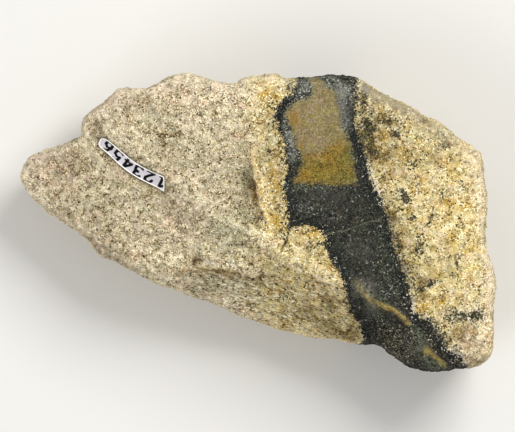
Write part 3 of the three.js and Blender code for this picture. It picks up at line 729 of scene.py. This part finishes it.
def granite_colour(node, mm, settings):
    """Sugary granite: pale feldspar and grey quartz grains, brown stains and dark mica."""
    def cloud(size, seed, low, high, top=1.0, bottom=0.0):
        place = node("VectorMath", {0: mm, 1: (seed, seed, seed)}, operation="ADD")
        field = node("TexNoise", {"Vector": place, "Scale": 1 / size, "Detail": 2.0})
        return node("MapRange", {"Value": field, "From Min": low, "From Max": high,
                                 "To Min": bottom, "To Max": top})

    # Iron stain: honey gold to the right of the vein, rust brown in its patches
    gold = node("Math", {0: cloud(2.2, 60.0, 0.48, 0.66, 0.6), 1: "right_end"}, operation="MULTIPLY")
    gold = node("Math", {0: "gold", 1: cloud(1.2, 70.0, 0.3, 0.55, 1.0, 0.4), 2: gold},
                operation="MULTIPLY_ADD", use_clamp=True)
    rust = node("Math", {0: cloud(0.9, 90.0, 0.60, 0.75, 0.5), 1: cloud(3.0, 95.0, 0.4, 0.6)},
                operation="MULTIPLY")
    rust = node("Math", {0: "rust", 1: cloud(1.2, 80.0, 0.3, 0.6, 1.0, 0.5), 2: rust},
                operation="MULTIPLY_ADD", use_clamp=True)
    coats = [
        # Broad tints: rosy beige to the left, honey to the right, with clouds of each colour
        ("right_end", settings.honey, "MIX"),
        ("pink", settings.rose, "MIX"),
        (cloud(3.0, 0.0, 0.5, 0.64, 0.5), "#e8cab0", "MIX"),
        (cloud(1.8, 20.0, 0.52, 0.66, 0.6), "#cdcaa2", "MIX"),
        ("grey_tint", "#c9c7a6", "MIX"),
        (cloud(1.5, 40.0, 0.45, 0.7, 0.5), settings.white_feldspar, "MIX"),
        (gold, settings.gold, "MIX"),
        (rust, settings.rust, "MIX"),
        # Weathering comes in broad clouds
        (1.0, cloud(2.0, 130.0, 0.36, 0.62, 1.0, 0.8), "MULTIPLY"),
    ]
    # Grains: the dull ones are browner than the rest, and drawn out where the rock is layered
    bent = bent_places(node, mm, 0.5, 0.5, 1.0)
    long = node("VectorRotate", {"Vector": bent, "Angle": LAYER_TURN}, rotation_type="Z_AXIS")
    long = node("VectorMath", {0: long, 1: LAYER_STRETCH}, operation="MULTIPLY")
    layered = node("Math", {0: "layered", 1: 0.5}, operation="GREATER_THAN")
    place = node("Mix", {"Factor": layered, "A": bent, "B": long}, data_type="VECTOR")
    coarse = {0.0: "#b8ac8e", 0.06: "#e6dfce", 0.3: "#ffffff"}
    fine = {0.0: "#30270f", 0.05: "#75694b", 0.15: "#b3a98f", 0.38: "#dfd8c6", 0.6: "#f8f5ee", 0.8: "#ffffff"}
    # Clean rock shows its grains less than dirty rock does
    shown = cloud(1.7, 170.0, 0.4, 0.6, 1.0, 0.46)
    for size, ramp in ((settings.grain, coarse), (settings.fine_grain, fine)):
        cell = node("TexVoronoi", {"Vector": place, "Scale": MM / size}, "Color")
        kind = node("SeparateColor", {"Color": cell}, "Red")
        coats.append((shown, node("ValToRGB", {"Fac": kind}, ramp=ramp), "MULTIPLY"))
    chance = node("SeparateColor", {"Color": cell}, "Green")
    # Pale grains, in clumps, most of them in their patches
    pale = node("Math", {0: "pale_grains", 1: cloud(0.8, 110.0, 0.38, 0.62, 0.9, 0.2), 2: 0.07},
                operation="MULTIPLY_ADD")
    pale = node("Math", {0: chance, 1: pale}, operation="LESS_THAN")
    # Dirty patches with painted shade, darker rock beside the vein, and clean patches with painted light
    far_side = node("MapRange", {"Value": "far_side", "To Min": 0.15, "To Max": 0.5})
    beside = node("MapRange", {"Value": "vein_depth", "From Min": -3.0, "From Max": 0.0, "To Max": far_side})
    shade = node("Math", {0: "shade", 1: beside}, operation="MAXIMUM")
    shade = node("Math", {0: shade, 1: cloud(1.6, 140.0, 0.35, 0.6, 1.2, 0.3)},
                 operation="MULTIPLY", use_clamp=True)
    # paler in the clean patches and where light is painted
    fresh = node("Math", {0: "fresh", 1: 0.2, 2: 1.0}, operation="MULTIPLY_ADD")
    # Dark mica: scattered specks, solid clots where they crowd together
    speck = node("TexVoronoi", {"Vector": bent, "Scale": 1 / MICA_GRAIN}, "Color")
    speck = node("SeparateColor", {"Color": speck}, "Blue")
    clump = cloud(0.6, 120.0, 0.36, 0.6, 1.0, 0.35)
    few = cloud(1.5, 190.0, 0.5, 0.66, 0.13, 0.01)
    dark = node("Math", {0: "dark_grains", 1: clump, 2: few}, operation="MULTIPLY_ADD")
    dark = node("Math", {0: beside, 1: cloud(1.3, 150.0, 0.45, 0.65, 0.5), 2: dark}, operation="MULTIPLY_ADD")
    dark = node("Math", {0: dark, 1: speck}, operation="ADD")
    dark = node("Math", {0: dark, 1: 1.0}, operation="GREATER_THAN")
    dark = node("Math", {0: dark, 1: cloud(0.5, 160.0, 0.3, 0.6, 1.0, 0.65)}, operation="MULTIPLY")
    # A dark line round the label: painted shadow of the paper's edge, and old glue that has taken up dirt
    glue = node("Math", {0: "glue", 1: cloud(0.9, 210.0, 0.35, 0.6, 1.0, 0.6)}, operation="MULTIPLY")
    # Painted highlight on convex edges, for the light the rims catch, with paler knocked rock there too
    edge_highlight_and_wear = node("MapRange", {"Value": "dip", "From Min": -0.3, "From Max": -1.3, "To Max": 0.26})
    coats += [
        (pale, settings.white_feldspar, "MIX"),
        # darker in the dirty patches and where shade is painted
        (shade, "#958c6e", "MULTIPLY"),
        (1.0, fresh, "MULTIPLY"),
        (dark, lay_coats(node, settings.mica, [("right_end", "#1f2217", "MIX")]), "MIX"),
        # painted shadow and old glue round the label
        (glue, "#4d4430", "MIX"),
        # paler convex edges: painted highlight and knocked rock
        (edge_highlight_and_wear, lay_coats(node, "#e6dcc0", [("pink", "#d6c4b6", "MIX")]), "MIX"),
    ]
    # Painted shade and highlight: darker in small hollows and broad dips, paler on ridges and proud points
    for name, low, high, proud, sunk in (("hollow", -0.14, 0.14, 1.15, 0.8), ("dip", -0.9, 0.0, 1.06, 1.0)):
        painted_relief_light = node("MapRange", {"Value": name, "From Min": low, "From Max": high,
                                 "To Min": proud, "To Max": sunk})
        coats.append((1.0, painted_relief_light, "MULTIPLY"))
    return lay_coats(node, settings.feldspar, coats)


def vein_colour(node, mm, settings):
    """Dense, fine-grained vein: black to green grains with a few pale flecks."""
    # Needle-like grains, bent this way and that
    bent = bent_places(node, mm, 0.9, 1.4, 2.0)
    grain = node("TexVoronoi", {"Vector": bent, "Scale": MM / settings.vein_grain}, "Color")
    kind, chance, other = [node("SeparateColor", {"Color": grain}, part) for part in ("Red", "Green", "Blue")]
    # The middle is mottled brown, green and violet grey
    field = node("TexNoise", {"Vector": mm, "Scale": 1 / 2.6, "Detail": 3.0}, "Color")
    middle = {0.0: "#0c0c0b", 0.2: "#4a4a46", 0.43: "#8c8c86", 0.7: "#bfbfb6", 0.9: "#e4e4d9"}
    coats = [
        (share_of(node, field, "Green", 0.45, 0.6, 0.9), "#3c4537", "MIX"),
        (share_of(node, field, "Blue", 0.48, 0.6, 0.8), "#403f40", "MIX"),
        (1.0, share_of(node, field, "Red", 0.35, 0.65, 1.16, 0.75), "MULTIPLY"),
        (1.0, node("ValToRGB", {"Fac": kind}, ramp=middle), "MULTIPLY"),
        # Fine pale hairs wander through it, among a few pale flecks
        (threads(node, mm, 0.8, 0.0, 2.0, 0.005, 0.03, 0.5), "#5c5b50", "MIX"),
        (node("Math", {0: chance, 1: 0.98}, operation="GREATER_THAN"), "#7c7b70", "MIX"),
    ]
    # Along its borders the vein is black, flecked with white, and grades inwards
    waver = node("TexNoise", {"Vector": mm, "Scale": 1 / 1.4, "Detail": 2.0})
    edge = node("Math", {0: waver, 1: -4.0, 2: "vein_depth"}, operation="MULTIPLY_ADD")
    edge = node("MapRange", {"Value": edge, "From Min": 0.8, "From Max": -1.5})
    # The share of each kind of ground, the chance that decides it, and its grains
    grounds = (
        (edge, chance, {0.0: "#050605", 0.35: "#0d0f0b", 0.62: "#181b15", 0.84: "#2c3128", 0.95: "#54564c",
                        0.985: "#a8a597"}),
        ("grey_ground", other, {0.0: "#1c1d19", 0.22: "#3f4135", 0.46: "#5c5e51", 0.74: "#7c7e74",
                                0.94: "#b4b4a8"}),
        ("green_ground", other, {0.0: "#1f231a", 0.2: "#3f4739", 0.5: "#585f4c", 0.85: "#858b70"}),
        ("speckled_ground", other, {0.0: "#0c0c09", 0.38: "#24231b", 0.62: "#4a4835", 0.8: "#77705a",
                                    0.94: "#b9ab9a"}),
    )
    for share, luck, ramp in grounds:
        share = node("Math", {0: share, 1: luck}, operation="GREATER_THAN")
        coats.append((share, node("ValToRGB", {"Fac": kind}, ramp=ramp), "MIX"))
    # A smooth grey film hides the grains in places, and turns tan beside the tan streaks
    haze = node("TexNoise", {"Vector": mm, "Scale": 1 / 0.7, "Detail": 3.0, "Roughness": 0.7})
    haze = node("MapRange", {"Value": haze, "From Min": 0.32, "From Max": 0.55})
    haze = node("Math", {0: haze, 1: "haze"}, operation="MULTIPLY", use_clamp=True)
    speckle = node("MapRange", {"Value": kind, "To Min": 0.35, "To Max": 1.0})
    haze = node("Math", {0: haze, 1: speckle}, operation="MULTIPLY")
    tan = node("MapRange", {"Value": "streak", "From Min": -2.0, "From Max": 0.0})
    white = node("Math", {0: "pale_grains", 1: 0.3}, operation="MULTIPLY")
    white = node("Math", {0: white, 1: other}, operation="GREATER_THAN")
    veinlet = node("MapRange", {"Value": "veinlet", "From Min": 0.3, "From Max": 0.05, "To Max": 0.4})
    # The tan streaks have ragged edges and mottled amber grains
    streak = node("Math", {0: chance, 1: 0.5, 2: "streak"}, operation="MULTIPLY_ADD")
    streak = node("MapRange", {"Value": streak, "From Min": 0.05, "From Max": 0.55, "To Max": 0.9})
    amber = node("TexNoise", {"Vector": bent, "Scale": 1 / 0.6, "Detail": 2.0})
    amber = node("MapRange", {"Value": amber, "From Min": 0.35, "From Max": 0.6})
    coats += [
        (haze, lay_coats(node, "#86847a", [(tan, "#877f5c", "MIX")]), "MIX"),
        (white, "#cfcab6", "MIX"),
        (veinlet, "#7d7a62", "MIX"),
        (streak, lay_coats(node, "#8a6a3c", [(amber, "#a39656", "MIX")]), "MIX"),
    ]
    return lay_coats(node, settings.vein, coats)


def core_colour(node, mm, settings):
    """Compact altered core: dull tan above, yellow brown with olive below."""
    field = node("TexNoise", {"Vector": mm, "Scale": 1 / 1.9, "Detail": 4.0, "Roughness": 0.6}, "Color")
    # Fine dark threads run through the ochre, and paler ones through the tan
    tan = lay_coats(node, settings.core, [
        (share_of(node, field, "Red", 0.48, 0.62, 0.6), "#94836e", "MIX"),
        (share_of(node, field, "Green", 0.48, 0.6, 0.8), "#8f8650", "MIX"),
        (share_of(node, field, "Blue", 0.56, 0.68, 0.5), "#a3833f", "MIX"),
        (threads(node, mm, 1.6, 50.0, 3.0, 0.0, 0.03, 0.6), "#ab9c82", "MIX"),
    ])
    ochre = lay_coats(node, settings.ochre, [
        (share_of(node, field, "Red", 0.48, 0.62, 0.6), "#93702a", "MIX"),
        (share_of(node, field, "Green", 0.52, 0.64, 0.5), "#6c672c", "MIX"),
        (share_of(node, field, "Blue", 0.5, 0.62, 0.6), "#99893c", "MIX"),
        (threads(node, mm, 1.3, 30.0, 3.0, 0.0, 0.035, 0.6), "#55421a", "MIX"),
    ])
    blur = node("SeparateColor", {"Color": field}, "Red")
    below = node("Math", {0: blur, 1: 12.0, 2: "below_ochre_line"}, operation="MULTIPLY_ADD")
    below = node("MapRange", {"Value": below, "From Min": 4.6, "From Max": 7.4})
    halo = node("MapRange", {"Value": "core_depth", "From Min": 1.0, "From Max": 0.1, "To Max": 0.4})
    # Grains show more in the ochre than in the tan
    bent = bent_places(node, mm, 0.6, 0.6, 1.0)
    grain = node("TexVoronoi", {"Vector": bent, "Scale": MM / settings.fine_grain}, "Color")
    kind = node("SeparateColor", {"Color": grain}, "Red")
    ramp = {0.0: "#5c5542", 0.1: "#9c9683", 0.32: "#cac5b5", 0.64: "#ffffff"}
    grains = node("ValToRGB", {"Fac": kind}, ramp=ramp)
    return lay_coats(node, tan, [
        (below, ochre, "MIX"),
        ("core_rust", "#96702b", "MIX"),
        ("core_olive", "#6e6a33", "MIX"),
        (halo, "#74745a", "MIX"),
        (node("MapRange", {"Value": below, "To Min": 0.6, "To Max": 0.85}), grains, "MULTIPLY"),
    ])


def rock_material(settings):
    """Aplite granite, broken and sawn, with its rare-earth vein.

    The rough breaks and the saw leave it dull and grainy, with a few glints off fresh grains."""
    material, node = new_material("broken_and_sawn_granite_with_vein")
    mm = places_in_mm(node)
    # The borders between the minerals are ragged by about a grain
    mingled = node("TexVoronoi", {"Vector": mm, "Scale": MM / settings.fine_grain}, "Color")
    mingled = node("SeparateColor", {"Color": mingled}, "Blue")
    ragged = node("TexNoise", {"Vector": mm, "Scale": 1 / 0.9, "Detail": 3.0, "Roughness": 0.7})
    ragged = node("Math", {0: ragged, 1: 2.4, 2: -1.65}, operation="MULTIPLY_ADD")
    ragged = node("Math", {0: mingled, 1: 0.9, 2: ragged}, operation="MULTIPLY_ADD")
    vein_depth = node("Math", {0: "vein_depth", 1: ragged}, operation="ADD")
    in_vein = node("MapRange", {"Value": vein_depth, "From Min": -0.12, "From Max": 0.12})
    core_depth = node("Math", {0: "core_depth", 1: ragged}, operation="ADD")
    in_core = node("MapRange", {"Value": core_depth, "From Min": -0.2, "From Max": 0.2})
    in_core = node("Math", {0: in_core, 1: in_vein}, operation="MULTIPLY")
    # A thin pale selvage of feldspar follows the vein's far side
    selvage = node("MapRange", {"Value": vein_depth, "From Min": -0.45, "From Max": -0.2, "To Max": 0.6})
    selvage = node("Math", {0: selvage, 1: "selvage"}, operation="MULTIPLY")
    broken = node("MapRange", {"Value": mingled, "From Min": 0.4, "From Max": 0.6})
    selvage = node("Math", {0: selvage, 1: broken}, operation="MULTIPLY")
    crack = node("MapRange", {"Value": "crack", "From Min": 0.3, "From Max": 0.02, "To Max": 0.95})
    colour = lay_coats(node, granite_colour(node, mm, settings), [
        (selvage, "#c9bfae", "MIX"),
        (in_vein, vein_colour(node, mm, settings), "MIX"),
        (in_core, core_colour(node, mm, settings), "MIX"),
        (crack, "#1c1710", "MIX"),
    ])
    # Grains stand proud on broken rock and are cut level on the sawn face
    cell = node("TexVoronoi", {"Vector": mm, "Scale": MM / settings.grain})
    dust = node("TexNoise", {"Vector": mm, "Scale": 1 / 0.3, "Detail": 2.0})
    proud = node("MapRange", {"Value": "sawn", "To Min": 0.4, "To Max": 0.08})
    height = node("Math", {0: cell, 1: -0.6, 2: dust}, operation="MULTIPLY_ADD")
    height = node("Math", {0: height, 1: proud}, operation="MULTIPLY")
    normal = node("Bump", {"Strength": 1.0, "Distance": MM, "Height": height})
    gloss = node("MapRange", {"Value": dust, "From Min": 0.35, "From Max": 0.65,
                              "To Min": 0.55, "To Max": 0.9})
    shader = node("BsdfPrincipled", {
        "Base Color": colour, "Roughness": gloss, "IOR": 1.53, "Specular IOR Level": 0.18, "Normal": normal,
    })
    node("OutputMaterial", {"Surface": shader})
    return material


class SPECIMEN_OT_stone(bpy.types.Operator):
    """Build the granite slab with its dark vein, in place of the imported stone"""

    bl_idname = "specimen.stone"
    bl_label = "Stone"

    def execute(self, context):
        settings = context.scene.specimen_stone
        mesh = fine_copy(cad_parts["stone"], settings.mesh_cell)
        points, normals = shape_rock(mesh, settings)
        store_minerals(mesh, points, normals)
        mesh.polygons.foreach_set("use_smooth", [True] * len(mesh.polygons))
        mesh.materials.append(rock_material(settings))
        link_piece(bpy.data.objects.new("stone_rock", mesh), "stone")
        return {"FINISHED"}


# ---- Label ------------------------------------------------------------------------------

# Middle line of the strip in plan, from its rounded left end to its slanting right end.
LABEL_LINE = [
    (-34.9, 17.8), (-33.4, 17.0), (-31.4, 15.1), (-29.3, 13.3), (-27.4, 11.9), (-25.0, 10.5),
    (-22.8, 9.4), (-20.5, 8.3),
]
LABEL_WIDTH = 2.85
LABEL_TAPER = 0.2  # how much narrower the strip is at its left end
LABEL_SLANT = 0.6  # how much shorter the strip's upper edge is at its right end, per mm of width
LABEL_ROUNDING = 1.3  # mm over which the strip's left end is rounded
PAPER_EASE = 1.0  # mm over which the paper evens out the rock below it
PAPER_BEND = 0.25  # mm over which it bends where the rock pushes it up
PAPER_GAPS = (0.05, 0.03)  # mm of glue below it, before and after it bends
PRINTED = "123456"
PRINT_MARGINS = (0.7, 0.6)  # mm of bare paper before the first digit and after the last

# Each digit as pen strokes in a box one unit high, from left to right and bottom to top.
DIGITS = {
    "1": [[(0.14, 0.76), (0.38, 0.98), (0.38, 0.04)], [(0.16, 0.04), (0.60, 0.04)]],
    "2": [[(0.08, 0.74), (0.18, 0.93), (0.40, 0.99), (0.62, 0.88), (0.64, 0.66), (0.46, 0.42),
           (0.08, 0.05), (0.68, 0.05)]],
    "3": [[(0.08, 0.86), (0.30, 0.99), (0.58, 0.90), (0.58, 0.64), (0.32, 0.54), (0.62, 0.44),
           (0.66, 0.16), (0.38, 0.01), (0.08, 0.13)]],
    "4": [[(0.52, 0.02), (0.52, 0.98), (0.06, 0.30), (0.70, 0.30)]],
    "5": [[(0.64, 0.96), (0.20, 0.96), (0.14, 0.54), (0.40, 0.62), (0.64, 0.48), (0.64, 0.16),
           (0.38, 0.01), (0.08, 0.12)]],
    "6": [[(0.60, 0.94), (0.28, 0.80), (0.10, 0.44), (0.14, 0.14), (0.38, 0.01), (0.62, 0.12),
           (0.66, 0.36), (0.46, 0.54), (0.24, 0.52), (0.11, 0.34)]],
}
DIGIT_SPREAD = 1.25  # how much wider than their boxes the digits are printed
STEM = 0.15  # half thickness of an upright stroke, as a share of a digit's height
BAR = 0.09  # half thickness of a level stroke


def strip_plan(cell):
    """A grid over the strip: plan positions, and distances along and across it."""
    line = np.array(LABEL_LINE)
    run = np.concatenate([[0], np.cumsum(np.linalg.norm(np.diff(line, axis=0), axis=1))])
    bends = [np.polynomial.Polynomial.fit(run, line[:, axis], 4) for axis in (0, 1)]
    length = run[-1]
    share, side = np.meshgrid(
        np.linspace(0, 1, round(length / cell)), np.linspace(-0.5, 0.5, round(LABEL_WIDTH / cell)),
        indexing="ij",
    )
    rounded = np.sqrt(1 - 0.75 * np.clip(1 - share * length / LABEL_ROUNDING, 0, 1) ** 2)
    across = side * LABEL_WIDTH * rounded * (1 - LABEL_TAPER * (1 - share))
    along = share * (length - LABEL_SLANT * across)
    middle = np.stack([bend(along) for bend in bends], axis=-1)
    ahead = np.stack([bend.deriv()(along) for bend in bends], axis=-1)
    ahead /= np.linalg.norm(ahead, axis=-1, keepdims=True)
    left = np.stack([-ahead[..., 1], ahead[..., 0]], axis=-1)
    return middle + left * across[..., None], along, across


def ring_of(grid):
    """The outermost entries of a grid, in order round it."""
    return [*grid[:, 0], *grid[-1, 1:], *grid[-2::-1, -1], *grid[0, -2:0:-1]]


def strip_outline():
    """The strip's edge in plan."""
    plan, _, _ = strip_plan(0.5)
    return ring_of(plan)


def blurred(heights, rounds):
    """A grid of heights, smoothed by its neighbours."""
    for _ in range(rounds):
        wide = np.pad(heights, 1, mode="edge")
        heights = (wide[:-2, 1:-1] + wide[2:, 1:-1] + wide[1:-1, :-2] + wide[1:-1, 2:]) / 4
    return heights


def ink_depth(along, across, digit_height):
    """How far inside a digit's stroke each point is: stems are broad, bars are thin."""
    pitch = (along.max() - sum(PRINT_MARGINS)) / len(PRINTED)
    depth = np.full(along.shape, -1.0)
    for place, digit in enumerate(PRINTED):
        # The strip is read from its right end, with its upper edge down
        right = (along.max() - PRINT_MARGINS[0] - place * pitch - along) / (DIGIT_SPREAD * digit_height)
        up = (digit_height / 2 - across) / digit_height
        for stroke in DIGITS[digit]:
            for (x0, y0), (x1, y1) in zip(stroke[:-1], stroke[1:]):
                run = np.array([x1 - x0, y1 - y0])
                t = np.clip(((right - x0) * run[0] + (up - y0) * run[1]) / (run @ run), 0, 1)
                away = np.hypot(DIGIT_SPREAD * (right - x0 - t * run[0]), up - y0 - t * run[1])
                steep = abs(run[1]) / np.linalg.norm(run)
                depth = np.maximum(depth, BAR + (STEM - BAR) * steep - away)
    return depth * digit_height


def label_material(settings):
    """Cartridge paper, cut by hand and printed in black.

    It is matt and nearly white, with a bright cut edge and faint fibres, which are drawn
    coarser than real ones so that they show."""
    material, node = new_material("cut_cartridge_paper_with_black_print")
    mm = places_in_mm(node)
    fibre = node("TexNoise", {"Vector": mm, "Scale": 1 / 0.25, "Detail": 3.0, "Distortion": 1.5})
    paper = node("MapRange", {"Value": fibre, "From Min": 0.3, "From Max": 0.7})
    printed = node("MapRange", {"Value": "ink", "From Min": -0.05, "From Max": 0.05})
    colour = lay_coats(node, "#c0bbc0", [
        (paper, settings.paper, "MIX"), (printed, settings.ink, "MIX"), ("cut_edge", "#fffaf4", "MIX"),
    ])
    normal = node("Bump", {"Strength": 0.4, "Distance": 0.03 * MM, "Height": fibre})
    shader = node("BsdfPrincipled", {
        "Base Color": colour, "Roughness": 0.8, "IOR": 1.5, "Specular IOR Level": 0.15, "Normal": normal,
    })
    node("OutputMaterial", {"Surface": shader})
    return material


class SPECIMEN_OT_label(bpy.types.Operator):
    """Build the printed paper strip, laid on the stone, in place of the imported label"""

    bl_idname = "specimen.label"
    bl_label = "Label"

    def execute(self, context):
        settings = context.scene.specimen_label
        rock = bpy.data.objects.get("stone_rock")
        if rock is None:
            raise RuntimeError("The label is laid on the stone, so the stone is built first")
        cell = settings.mesh_cell / MM
        plan, along, across = strip_plan(cell)
        tree = BVHTree.FromObject(rock, bpy.context.evaluated_depsgraph_get())
        down = Vector((0, 0, -1))
        heights = np.array([
            tree.ray_cast(Vector((x, y, 2 * TOP)) * MM, down)[0].z / MM for x, y in plan.reshape(-1, 2)
        ]).reshape(along.shape)
        eased = blurred(heights, round((PAPER_EASE / cell) ** 2)) + PAPER_GAPS[0]
        top = blurred(np.maximum(eased, heights), round((PAPER_BEND / cell) ** 2))
        top += settings.thickness / MM + PAPER_GAPS[1]
        mesh = self.paper_mesh(plan, top, settings.thickness / MM)
        edge = self.edge_share(along, across)
        ink = ink_depth(along, across, settings.digit_height / MM)
        store(mesh, "ink", np.concatenate([ink.ravel(), np.full(ink.size, -1.0)]))
        store(mesh, "cut_edge", np.concatenate([edge.ravel(), np.ones(edge.size)]))
        mesh.materials.append(label_material(settings))
        link_piece(bpy.data.objects.new("label_paper", mesh), "label")
        return {"FINISHED"}

    def paper_mesh(self, plan, top, thickness):
        """A thin closed sheet: its printed side, its glued side and its cut edges."""
        rows, columns = top.shape
        upper = np.concatenate([plan, top[..., None]], axis=-1).reshape(-1, 3)
        lower = upper - np.array([0, 0, thickness])
        index = np.arange(rows * columns).reshape(rows, columns)
        faces = [
            (index[i, j], index[i + 1, j], index[i + 1, j + 1], index[i, j + 1])
            for i in range(rows - 1) for j in range(columns - 1)
        ]
        count = rows * columns
        faces += [tuple(count + corner for corner in reversed(face)) for face in faces]
        rim = ring_of(index)
        for here, there in zip(rim, [*rim[1:], rim[0]]):
            faces.append((there, here, count + here, count + there))
        mesh = bpy.data.meshes.new("label_paper")
        mesh.from_pydata((np.concatenate([upper, lower]) * MM).tolist(), [], faces)
        mesh.validate()
        return mesh

    def edge_share(self, along, across):
        """1 on the paper's bare cut edge, 0 further in."""
        inward = np.minimum(across - across.min(axis=1, keepdims=True),
                            across.max(axis=1, keepdims=True) - across)
        inward = np.minimum(inward, along - along.min(axis=0, keepdims=True))
        inward = np.minimum(inward, along.max(axis=0, keepdims=True) - along)
        return 1 - smooth_step(inward, 0.1, 0.35)


# ---- Stage ------------------------------------------------------------------------------

FLOOR_REACH = 6.0  # metres from the middle of the floor to its edge
VIEW_CENTRE = 1.32 * MM  # how far behind the frame's middle the camera looks down
# Where each soft light hangs and how wide it is, in metres.
LIGHTS = {
    "key": {"place": (0.34, 0.40, 0.55), "size": 0.40},
    "fill": {"place": (-0.45, -0.30, 0.45), "size": 0.50},
}


def floor_material(settings):
    """Smooth board under matt paint: one even pale tone with no shine."""
    material, node = new_material("matt_painted_board")
    shader = node("BsdfPrincipled", {"Base Color": settings.floor, "Roughness": 0.8})
    node("OutputMaterial", {"Surface": shader})
    return material


class SPECIMEN_OT_stage(bpy.types.Operator):
    """Build the plain floor, the soft lights and the camera"""

    bl_idname = "specimen.stage"
    bl_label = "Stage"

    def execute(self, context):
        settings = context.scene.specimen_stage
        self.lay_floor(settings)
        self.hang_lights(context, settings)
        self.place_camera(context, settings)
        return {"FINISHED"}

    def lay_floor(self, settings):
        """Lay a plain board under the specimen."""
        floor = bmesh.new()
        bmesh.ops.create_grid(floor, x_segments=8, y_segments=8, size=FLOOR_REACH)
        mesh = bpy.data.meshes.new("floor")
        floor.to_mesh(mesh)
        floor.free()
        mesh.materials.append(floor_material(settings))
        board = bpy.data.objects.new("floor", mesh)
        bpy.context.scene.collection.objects.link(board)

    def hang_lights(self, context, settings):
        """Aim the two soft lights at the specimen, under an even pale sky."""
        aim = Vector((0, 0, TOP * MM / 2))
        for name, power in (("key", settings.key_power), ("fill", settings.fill_power)):
            place = Vector(LIGHTS[name]["place"])
            lamp = bpy.data.lights.new(name, "AREA")
            lamp.size = LIGHTS[name]["size"]
            lamp.energy = power
            holder = bpy.data.objects.new(name, lamp)
            holder.location = place
            holder.rotation_euler = (aim - place).to_track_quat("-Z", "Y").to_euler()
            context.scene.collection.objects.link(holder)
        world = bpy.data.worlds.new("studio")
        world.use_nodes = True
        sky = world.node_tree.nodes["Background"].inputs
        sky["Color"].default_value = linear("#e4e4e6")
        sky["Strength"].default_value = settings.sky
        context.scene.world = world
        context.scene.view_settings.view_transform = "Standard"

    def place_camera(self, context, settings):
        """Hang a long-lens camera straight above the sawn face."""
        camera = bpy.data.cameras.new("camera")
        camera.lens = camera.sensor_width * settings.camera_height / settings.view_width
        camera.clip_end = 10.0
        holder = bpy.data.objects.new("camera", camera)
        holder.location = (0, VIEW_CENTRE, TOP * MM + settings.camera_height)
        context.scene.collection.objects.link(holder)
        context.scene.camera = holder


# ---- Panel and registration -------------------------------------------------------------


class SPECIMEN_PT_panel(bpy.types.Panel):
    """Lists the specimen's pieces and their settings"""

    bl_label = "Tornebohmite Specimen"
    bl_idname = "SPECIMEN_PT_panel"
    bl_space_type = "VIEW_3D"
    bl_region_type = "UI"
    bl_category = "Specimen"

    def draw(self, context):
        for operator, settings in (
            (SPECIMEN_OT_stone, context.scene.specimen_stone),
            (SPECIMEN_OT_label, context.scene.specimen_label),
            (SPECIMEN_OT_stage, context.scene.specimen_stage),
        ):
            box = self.layout.box()
            box.operator(operator.bl_idname)
            for name in settings.__annotations__:
                box.prop(settings, name)


SETTINGS = {
    "specimen_stone": StoneSettings, "specimen_label": LabelSettings, "specimen_stage": StageSettings,
}
CLASSES = (
    *SETTINGS.values(), SPECIMEN_OT_stone, SPECIMEN_OT_label, SPECIMEN_OT_stage, SPECIMEN_PT_panel,
)


def register():
    for made in CLASSES:
        bpy.utils.register_class(made)
    for name, group in SETTINGS.items():
        setattr(bpy.types.Scene, name, bpy.props.PointerProperty(type=group))


def unregister():
    for name in SETTINGS:
        delattr(bpy.types.Scene, name)
    for made in reversed(CLASSES):
        bpy.utils.unregister_class(made)


def main():
    register()
    bpy.ops.specimen.stone()
    bpy.ops.specimen.label()
    bpy.ops.specimen.stage()


if __name__ == "__main__":
    main()
